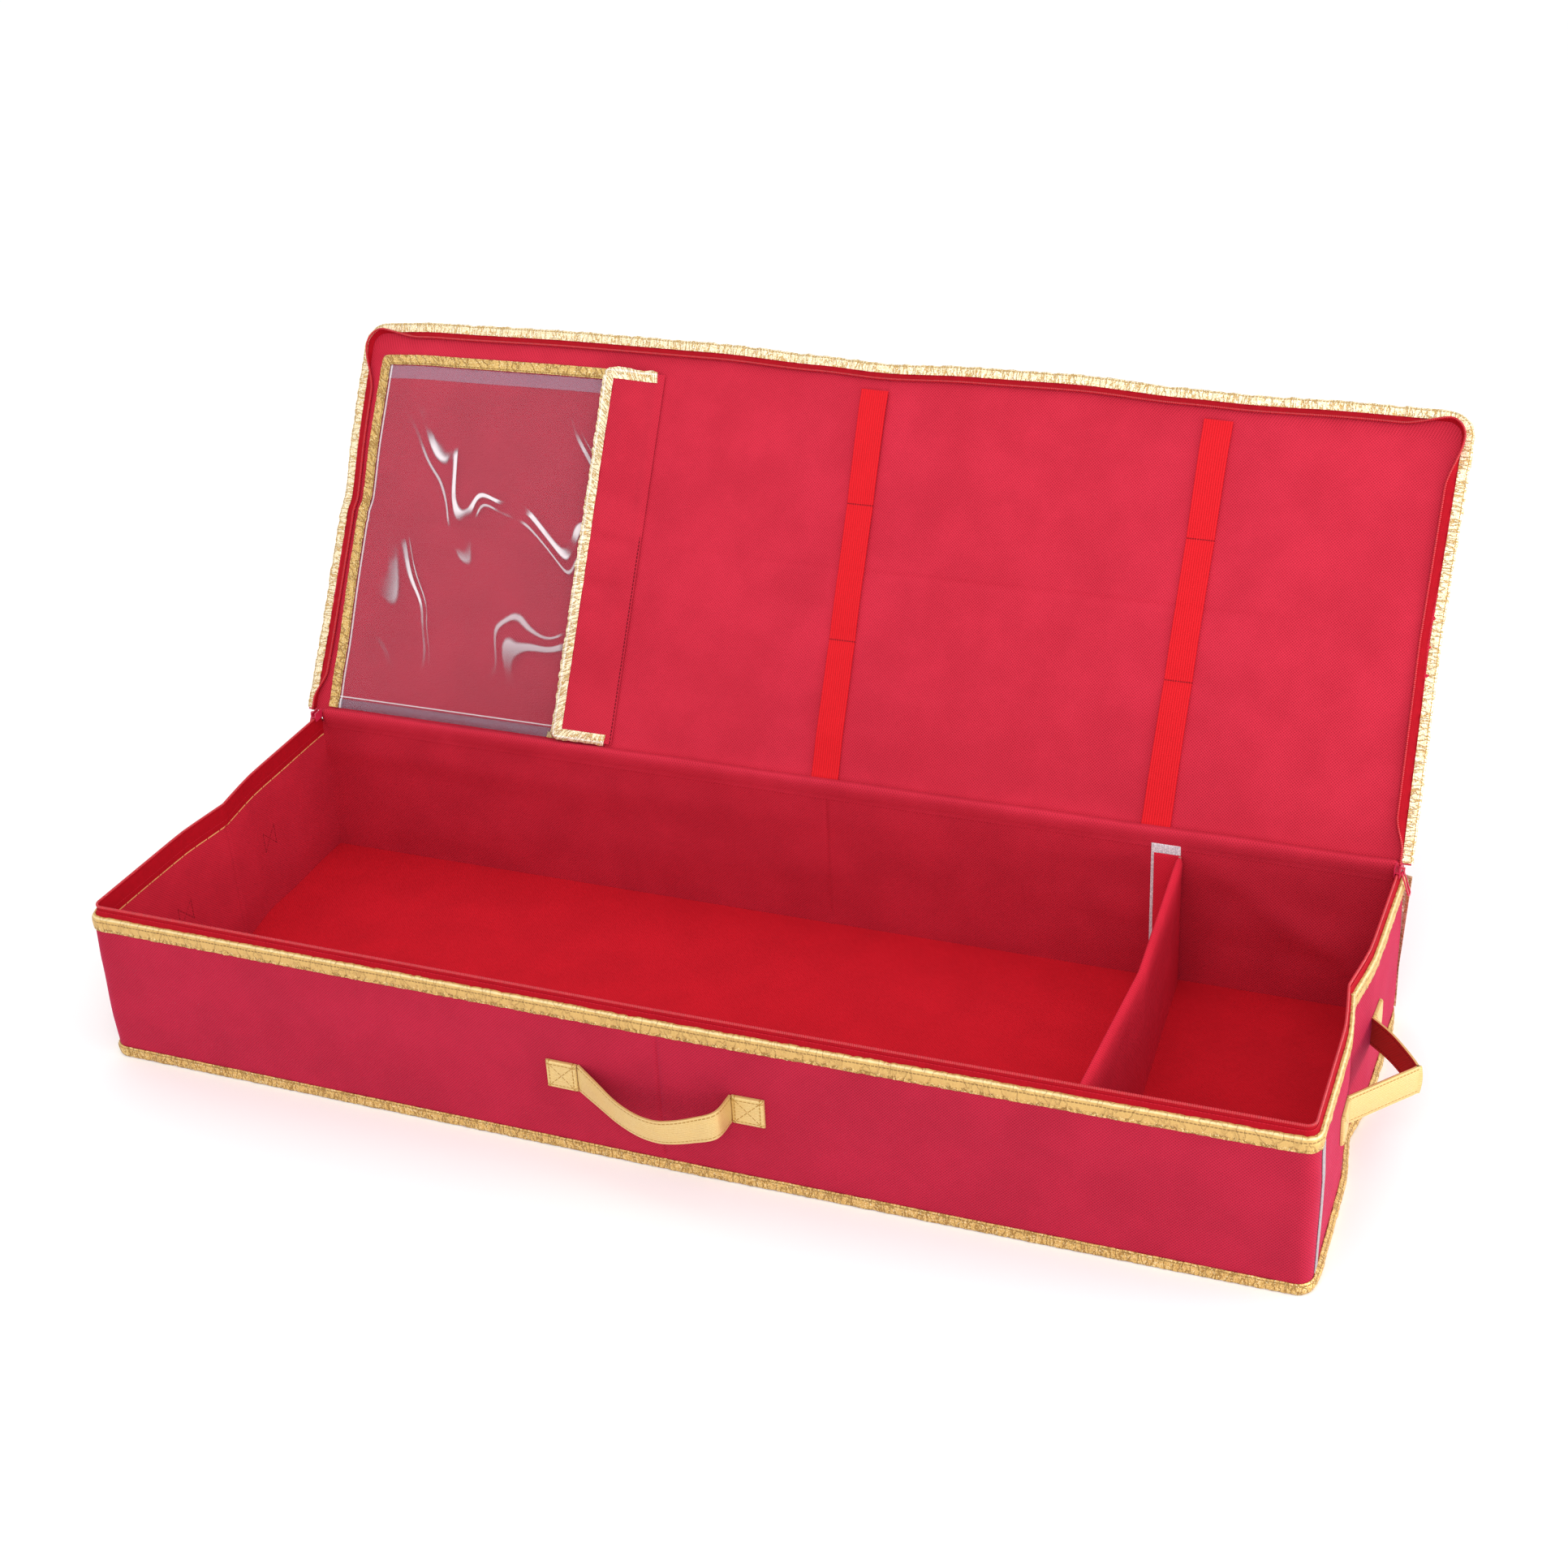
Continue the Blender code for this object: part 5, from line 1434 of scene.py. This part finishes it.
def flap_spot(across, up, height):
    """A point of the flap: out from its stitches, up the lid, and above its middle."""
    top_share = min(up / -lid_front_y, 1.0) ** 3
    moved_up = up + between(free_edge_rise, flap_x - across) * top_share
    return flap_place @ Vector((-across, -moved_up, -height))


def flap_rise(across, up):
    """Soft level folds that cross the flap, as in cloth that was packed folded."""
    folds = 0.0
    for level, depth in ((0.150, 0.0016), (0.192, 0.0022), (0.232, 0.0010)):
        folds -= depth * math.exp(-((up - level - across * 0.08) / 0.005) ** 2)
    swelled = swell(across * 2.0, up, 23.0, 0.05, 0.0022)
    arch = math.sin(math.pi * min(max(across / flap_reach, 0.0), 1.0)) ** 0.7
    upper = min(max((up - 0.17) / 0.06, 0.0), 1.0)
    rolled = 0.0016 * upper * math.exp(-((across - 0.006) / 0.0035) ** 2)
    return min((swelled + folds) * arch + rolled, 0.22 * max(across, 0.0))


print("The flap leans out by", round(math.degrees(flap_lean), 1), "degrees and reaches", flap_reach, "m")


# %% Cloth of the flap
def flap_cloth_place(across, up, lift):
    """The flap's cloth."""
    return flap_spot(across, up, flap_rise(across, up) + lift - cloth / 2)


def flap_seams(along, across):
    """The sewing line that shows on the lower half, where the flap lies flat."""
    return stitch_row(across, along, 0.0024, 0.0036, 0.0005) * (1 - ramped(across, 0.195, 0.205))


flap_red = bonded_cloth("flap_red", paint(206, 44, 66), paint(162, 24, 44), ((flap_seams, paint(112, 12, 28)),))
flap_columns = [0.0008, 0.0018, 0.0030, 0.0045] + even(0.0065, flap_reach - 0.0013, 18)
flap_rows = even(pocket_foot + 0.0013, pocket_top - 0.0013, 110)
flap_cloth = lay_cloth("flap_cloth", flap_columns, flap_rows, flap_cloth_place, cloth, flap_red)
settle(flap_cloth, "flap", "lining_cloth", "pocket_flap")

# %% Tape round the flap
flap_line = Rail([
    Vector((0.0008, pocket_foot)), Vector((flap_reach, pocket_foot)), Vector((flap_reach, pocket_top)),
    Vector((0.0008, pocket_top))])
flap_section = section_rail(
    (pocket_hem, -0.0006), (0.0008, -0.0006), (0.0002, 0.0), (0.0008, 0.0006), (pocket_hem, 0.0006))


def flap_tape_place(along, across, lift):
    """Tape folded over the flap's three free edges."""
    rise = crinkle(along, across, 7.3, 0.0046, 0.0008)
    inset, height = flap_section.at(across, lift + rise)
    out, up = flap_line.at(along, inset)
    height += flap_rise(out, up)
    for corner_up, facing in ((pocket_foot, -1.0), (pocket_top, 1.0)):
        out, up = softened(out, up, flap_reach, corner_up, 1.0, facing)
    return flap_spot(out, up, height)


flap_tape = lay_cloth(
    "flap_tape", flap_line.stations(0.0022, 0.0075, flap_line.length - 0.0075),
    even(0.0, flap_section.length, 14), flap_tape_place, 0.0006, edge_gold)
settle(flap_tape, "flap", "gold_binding", "flap_binding")

# %% [markdown]
# ## The divider
# A board in a cloth sleeve, which slides down between two strips of hook tape. The sleeve's section is
# a tall hoop with a soft rolled top, swept from the front wall to the back. Near both ends the hoop is
# squeezed flat, which closes it the way a sewn sleeve closes. A flat tab presses on the rear tape.

# %% Sleeve of the divider
divider_low = 0.0043
divider_line = Rail([Vector((0.338, -0.1845)), Vector((0.343, 0.0)), Vector((0.331, 0.1825))])
divider_section = Rail([
    Vector((-0.0012, divider_low)), Vector((-0.0012, 0.1080)), Vector((-0.0019, 0.1180)), Vector((-0.0024, 0.1250)),
    Vector((-0.0021, 0.1290)), Vector((-0.0010, 0.1308)), Vector((0.0010, 0.1308)), Vector((0.0021, 0.1290)),
    Vector((0.0024, 0.1250)), Vector((0.0019, 0.1180)), Vector((0.0012, 0.1080)), Vector((0.0012, divider_low))])


def divider_place(along, across, lift):
    """The sleeve round its board, closed at both ends."""
    offset, height = divider_section.at(across, lift)
    end = min(along, divider_line.length - along)
    squeeze = min(max(end, 0.0) / 0.0015, 1.0) ** 0.5
    ripples = swell(along * 1.5, height * 2.2, 31.0, 0.05, 0.0009) * held_down(height, 0.02, 0.128, 0.02)
    offset += math.copysign(ripples, offset)
    point = divider_line.at(along, -offset * squeeze)
    return Vector((point.x, point.y, height - 0.0012 * (1 - squeeze)))


divider_marks = divider_line.stations(0.006), divider_section.stations(0.006)
divider_cloth = lay_cloth("divider_cloth", *divider_marks, divider_place, cloth, sleeve_cloth)
settle(divider_cloth, "divider", "lining_cloth", "divider_cover")

# %% Tab of the sleeve
tab_width, tab_height, tab_thickness = 0.0240, 0.1270, 0.0010


def divider_tab_place(along, across, lift):
    """The tab of the sleeve that lies against the rear hook tape."""
    wave = 0.0004 * math.sin(across * 60.0)
    return Vector((0.3325 - along, 0.1828 - lift - max(wave, 0.0), divider_low + across))


tab_marks = even(0.0, tab_width, 10), even(0.0, tab_height, 30)
divider_tab = lay_cloth("divider_tab", *tab_marks, divider_tab_place, tab_thickness, sleeve_cloth)
settle(divider_tab, "divider", "lining_cloth", "divider_cover")

# %% [markdown]
# ## Pieces sewn flat on a wall
# Handle pads, hook tape and corner strips are all the same thing: a patch of strip on a wall. Each one
# takes its place from the box of its solid, and its edges are rounded by giving the points near the
# outline less of the lift.

# %% A patch on a wall
pad_thickness, strip_thickness, hook_thickness = 0.0030, 0.0008, 0.0016
rounded_rim = 0.0012


def edged_marks(length):
    """Marks over a length, close together near both of its ends."""
    near_end = (0.0, 0.0004, rounded_rim)
    return [*near_end, *even(0.003, length - 0.003, 12), *(length - mark for mark in reversed(near_end))]


def lay_patch(name, node, wall, thickness, finish, slot, inside=False):
    """A patch sewn on a wall, with the width and height of its solid."""
    base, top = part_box(node)
    low, high = sorted(wall_mark(wall, corner[wall_axes[wall]]) for corner in (base, top))
    reach, height = high - low, top.z - base.z

    def place(along, across, lift):
        edge = min(along, reach - along, across, height - across)
        rounding = 0.45 + 0.55 * min(max(edge, 0.0) / rounded_rim, 1.0) ** 0.5
        level = base.z + across
        if inside:
            left = inner_inset + lift * rounding + inner_puff(low + along, level)
        else:
            left = -(seam_gap + lift * rounding + outer_puff(low + along, level))
        point = case_rail.at(low + along, left)
        return Vector((point.x, point.y, level))

    piece = lay_cloth(name, edged_marks(reach), edged_marks(height), place, thickness, finish)
    settle(piece, "case", slot, node)


print("Marks over a 10 mm patch:", [round(mark, 4) for mark in edged_marks(0.010)][:5])

# %% Handle pads, corner strips and hook tape
for side_name in ("left", "right"):
    lay_patch(
        "front_pad_" + side_name, "front_handle_pad_" + side_name, "front", pad_thickness, pad_gold, "gold_webbing")
for side_name in ("left", "right"):
    for end_name in ("front", "rear"):
        lay_patch(
            side_name + "_pad_" + end_name, side_name + "_handle_pad_" + end_name, side_name, pad_thickness,
            pad_gold, "gold_webbing")
    lay_patch(
        "corner_strip_" + side_name, "corner_tape_" + side_name, side_name, strip_thickness, grey_strip, "hook_tape")
for name, wall in (("front", "front"), ("rear", "back")):
    lay_patch(
        name + "_hooks", "divider_hook_tape_" + name, wall, hook_thickness, white_hooks, "hook_tape", inside=True)

# %% [markdown]
# ## Gold at the rear corners
# The tape over each rear corner seam stands a little proud near the lid, where the zip leaves the case.

# %% Rear corner tapes
rear_tape_width = 0.016


def lay_rear_tape(name, node, direction):
    """A crinkled strip over a rear corner, wider near the lid."""
    base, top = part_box(node)
    seam_mark = case_rail.where(0, direction * (half_length - 0.009), rim_rail.length, case_rail.length)

    def place(along, across, lift):
        height = base.z + along
        puff = outer_puff(seam_mark, min(height, wall_height)) * (1 - eased((across - 0.008) / 0.004))
        stand = 0.0012 + 0.0048 * min(max((height - 0.050) / 0.090, 0.0), 1.0)
        width = 0.010 + stand
        share = across / rear_tape_width
        curl = 0.0024 * max(share - 0.72, 0.0) * 3.5 * min(height / 0.05, 1.0)
        rise = crinkle(along, across, 5.0 + direction, 0.0048, 0.0006)
        x = direction * (half_length - 0.010 + share * width)
        return Vector((x, half_depth + seam_gap + lift + rise + puff - curl, height))

    marks = even(0.0, top.z - base.z, 60), even(0.0, rear_tape_width, 9)
    return lay_cloth(name, *marks, place, 0.0006, edge_gold)


for side_name, direction in (("right", 1.0), ("left", -1.0)):
    rear_tape = lay_rear_tape("rear_tape_" + side_name, "rear_binding_" + side_name, direction)
    settle(rear_tape, "case", "gold_binding", "rear_binding_" + side_name)

# %% [markdown]
# ## Webbing handles
# A webbing strap stands on edge, bows away from the wall and sags under its own weight. Its line comes
# from a few measured stations, softened between them, and the strap tips with its sag. Each side strap
# gets a dark red sheet on its inner face, painted shade standing for the red wall reflected in the shaded gold: the
# same line again, set a little deeper.

# %% Measured stations of the straps
front_x, front_half, front_strap_bow, front_sag, front_middle = 0.0033, 0.06515, 0.026, 0.0168, 0.0735
side_half, side_strap_bow = 0.0557, 0.043
front_shares = (
    (0.0, 0.0, 0.0), (0.147, 0.35, 0.31), (0.305, 0.69, 0.71), (0.452, 0.92, 0.93), (0.58, 1.0, 1.0),
    (0.685, 1.0, 0.88), (0.82, 0.96, 0.57), (0.975, 0.9, 0.06), (1.0, 0.04, 0.0))
side_shares = (
    (0.0, 0.0, 0.0), (0.16, 0.33, 0.0), (0.33, 0.68, 0.0), (0.485, 1.0, 0.0), (0.515, 1.0, 0.0),
    (0.66, 0.76, 0.0), (0.84, 0.41, 0.0), (1.0, 0.0, 0.0))
print("Stations: front", len(front_shares), "and side", len(side_shares))


# %% A strap that bows and sags
def lay_strap(name, shares, start, end, bow, sag, twist, middle_z, layer=(0.0, webbing), finish=strap_gold):
    """A strap bowed away from the wall between two points of the plan; layer is its depth and thickness."""
    step = end - start
    outward = Vector((step.y, -step.x)).normalized()
    stand = webbing / 2 + seam_gap
    stops = []
    for share, bow_share, sag_share in shares:
        point = start + step * share + outward * (stand + bow * bow_share)
        stops.append(Vector((point.x, point.y, sag_share)))
    soft = smooth_run(stops, 7)
    line = Rail([Vector((point.x, point.y)) for point in soft])
    sags = list(zip(line.reach, [point.z for point in soft]))

    def place(along, across, lift):
        drop = between(sags, along)
        tilt = twist * drop
        from_middle = across - webbing_width / 2
        cup = 0.0005 * math.cos(from_middle / webbing_width * math.pi)
        left = webbing / 2 - layer[0] - lift - cup + from_middle * math.sin(tilt)
        point = line.at(along, left)
        return Vector((point.x, point.y, middle_z - sag * drop + from_middle * math.cos(tilt)))

    columns = line.stations(0.003)
    return lay_cloth(name, columns, even(0.0, webbing_width, 10), place, layer[1], finish)


def sew_strap(strap, body, node, wall_point, outward):
    """Keep a strap's ends on their wall: it bends from the wall to where its loop swings free."""
    start, end = wall_point + outward * 0.002, wall_point + outward * 0.016
    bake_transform(strap, "case", body, start=(start.x, start.y, handle_middle), end=(end.x, end.y, handle_middle))
    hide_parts(node)
    print(strap.name, "bends at its sewn ends and swings with", body)


# %% Front strap
front_ends = [case_rail.at(wall_mark("front", x)) for x in (front_x - front_half, front_x + front_half)]
front_strap = lay_strap(
    "front_strap", front_shares, *front_ends, bow=front_strap_bow, sag=front_sag, twist=math.radians(-12.0),
    middle_z=front_middle)
front_seat = case_rail.at(wall_mark("front", front_x))
sew_strap(front_strap, "front_handle", "front_handle_strap", front_seat, Vector((0.0, -1.0)))

# %% Side straps and the painted shade sheet on their inner face
# a dark red sheet under each side strap: painted shade, standing for the red wall reflected in the strap's shaded
# inner face
shade_sheet_red = bonded_cloth("shade_sheet_red", paint(176, 46, 40), paint(148, 32, 28), ((edge_seams, paint(112, 20, 18)),))
strap_layers = (("_strap", (0.0, webbing), strap_gold), ("_strap_shade_sheet", (-0.0005, 0.0004), shade_sheet_red))
for side_name, direction in (("right", 1.0), ("left", -1.0)):
    first, last = (case_rail.at(wall_mark(side_name, direction * y)) for y in (-side_half, side_half))
    hang = {"bow": side_strap_bow, "sag": 0.0, "twist": 0.0, "middle_z": handle_middle}
    side_layers = [
        lay_strap(side_name + ending, side_shares, first, last, layer=layer, finish=finish, **hang)
        for ending, layer, finish in strap_layers]
    for strap in side_layers:
        sew_strap(strap, side_name + "_handle", side_name + "_handle_strap", first, Vector((direction, 0.0)))

# %% [markdown]
# ## Pieces that keep their solid
# The stiff boards are hidden in the cloth and keep their solids, in a fibrous grey board. The sliders
# and their ring pulls have their true shape already, so they only take a finish of red enamel.

# %% Fibre board and enamel on kept solids
def fibre_board(name):
    """Pressed grey board with short fibres and flecks."""
    finish = Finish(name)
    flecks = ramped(speckle(finish, 0.0025, 4.0, (1.0, 3.0, 1.0)), 0.42, 0.66)
    tone = mixed(finish, flecks, paint(168, 156, 140), paint(132, 120, 104))
    finish.dress(Base_Color=tone, Roughness=flecks * 0.1 + 0.82)
    return finish.emboss(flecks * 0.0001)


grey_board = fibre_board("grey_board")
kept = {"board": grey_board, "slider": red_enamel, "pull": red_enamel}
for node_name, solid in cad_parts.items():
    words = [word for word in node_name.split("_") if word in kept]
    if words and not solid.hide_render:
        solid.data.materials.clear()
        solid.data.materials.append(kept[words[-1]].material)
        print("Kept solid:", node_name)

# %% [markdown]
# ## The picture
# The case stands on a wide sheet of white paper, under two broad soft lights and a bright, even sky.
# The camera was placed by matching the case's corners to where they appear from its own
# viewpoint, so it is given by one place, three turns and a focal length.

# %% White paper
def white_paper(name):
    """Matt seamless paper, faintly uneven."""
    finish = Finish(name)
    cloudy = speckle(finish, 0.5, 2.0)
    finish.dress(Base_Color=mixed(finish, cloudy, paint(255, 255, 255), paint(251, 251, 252)), Roughness=0.9)
    return finish


paper = bmesh.new()
bmesh.ops.create_grid(paper, x_segments=8, y_segments=8, size=6.0)
bmesh.ops.translate(paper, verts=paper.verts, vec=(0.0, 2.5, -0.0004))
floor = keep_shape("paper_floor", paper, white_paper("seamless_paper"))
print("Paper floor, 12 m square")


# %% Lights
def soft_light(name, place, target, width, height, power):
    """A broad lamp that faces a point."""
    lamp = bpy.data.lights.new(name, "AREA")
    lamp.shape, lamp.size, lamp.size_y, lamp.energy = "RECTANGLE", width, height, power
    light = bpy.data.objects.new(name, lamp)
    light.location = place
    light.rotation_euler = (Vector(target) - Vector(place)).to_track_quat("-Z", "Y").to_euler()
    bpy.context.scene.collection.objects.link(light)
    return light


soft_light("front_light", (0.9, -2.7, 2.5), (0.0, 0.0, 0.1), width=2.2, height=1.8, power=40.0)
soft_light("side_light", (2.4, -0.1, 0.42), (0.5, 0.0, 0.08), width=1.6, height=0.5, power=26.0)
sky = bpy.data.worlds.new("bright_sky")
sky.use_nodes = True
sky.node_tree.nodes["Background"].inputs["Color"].default_value = (1.0, 1.0, 1.0, 1.0)
sky.node_tree.nodes["Background"].inputs["Strength"].default_value = 1.04
bpy.context.scene.world = sky
bpy.context.scene.view_settings.view_transform = "Standard"
print("Lights placed")

# %% Camera
yaw, pitch, roll = -0.39857, 0.49844, -0.05579
forward = Vector((math.sin(yaw) * math.cos(pitch), math.cos(yaw) * math.cos(pitch), -math.sin(pitch)))
level_right = Vector((math.cos(yaw), -math.sin(yaw), 0.0))
level_up = level_right.cross(forward)
right = level_right * math.cos(roll) + level_up * math.sin(roll)
upward = level_up * math.cos(roll) - level_right * math.sin(roll)
turn = Matrix((right, upward, -forward)).transposed()
camera_data = bpy.data.cameras.new("camera")
camera_data.lens, camera_data.sensor_width = 55.936, 36.0
camera = bpy.data.objects.new("camera", camera_data)
camera.matrix_world = Matrix.Translation((0.7157226, -1.5894946, 1.1923355)) @ turn.to_4x4()
bpy.context.scene.collection.objects.link(camera)
bpy.context.scene.camera = camera
print("Camera:", [round(value, 3) for value in camera.matrix_world.translation], "m,", camera_data.lens, "mm lens")

# %% [markdown]
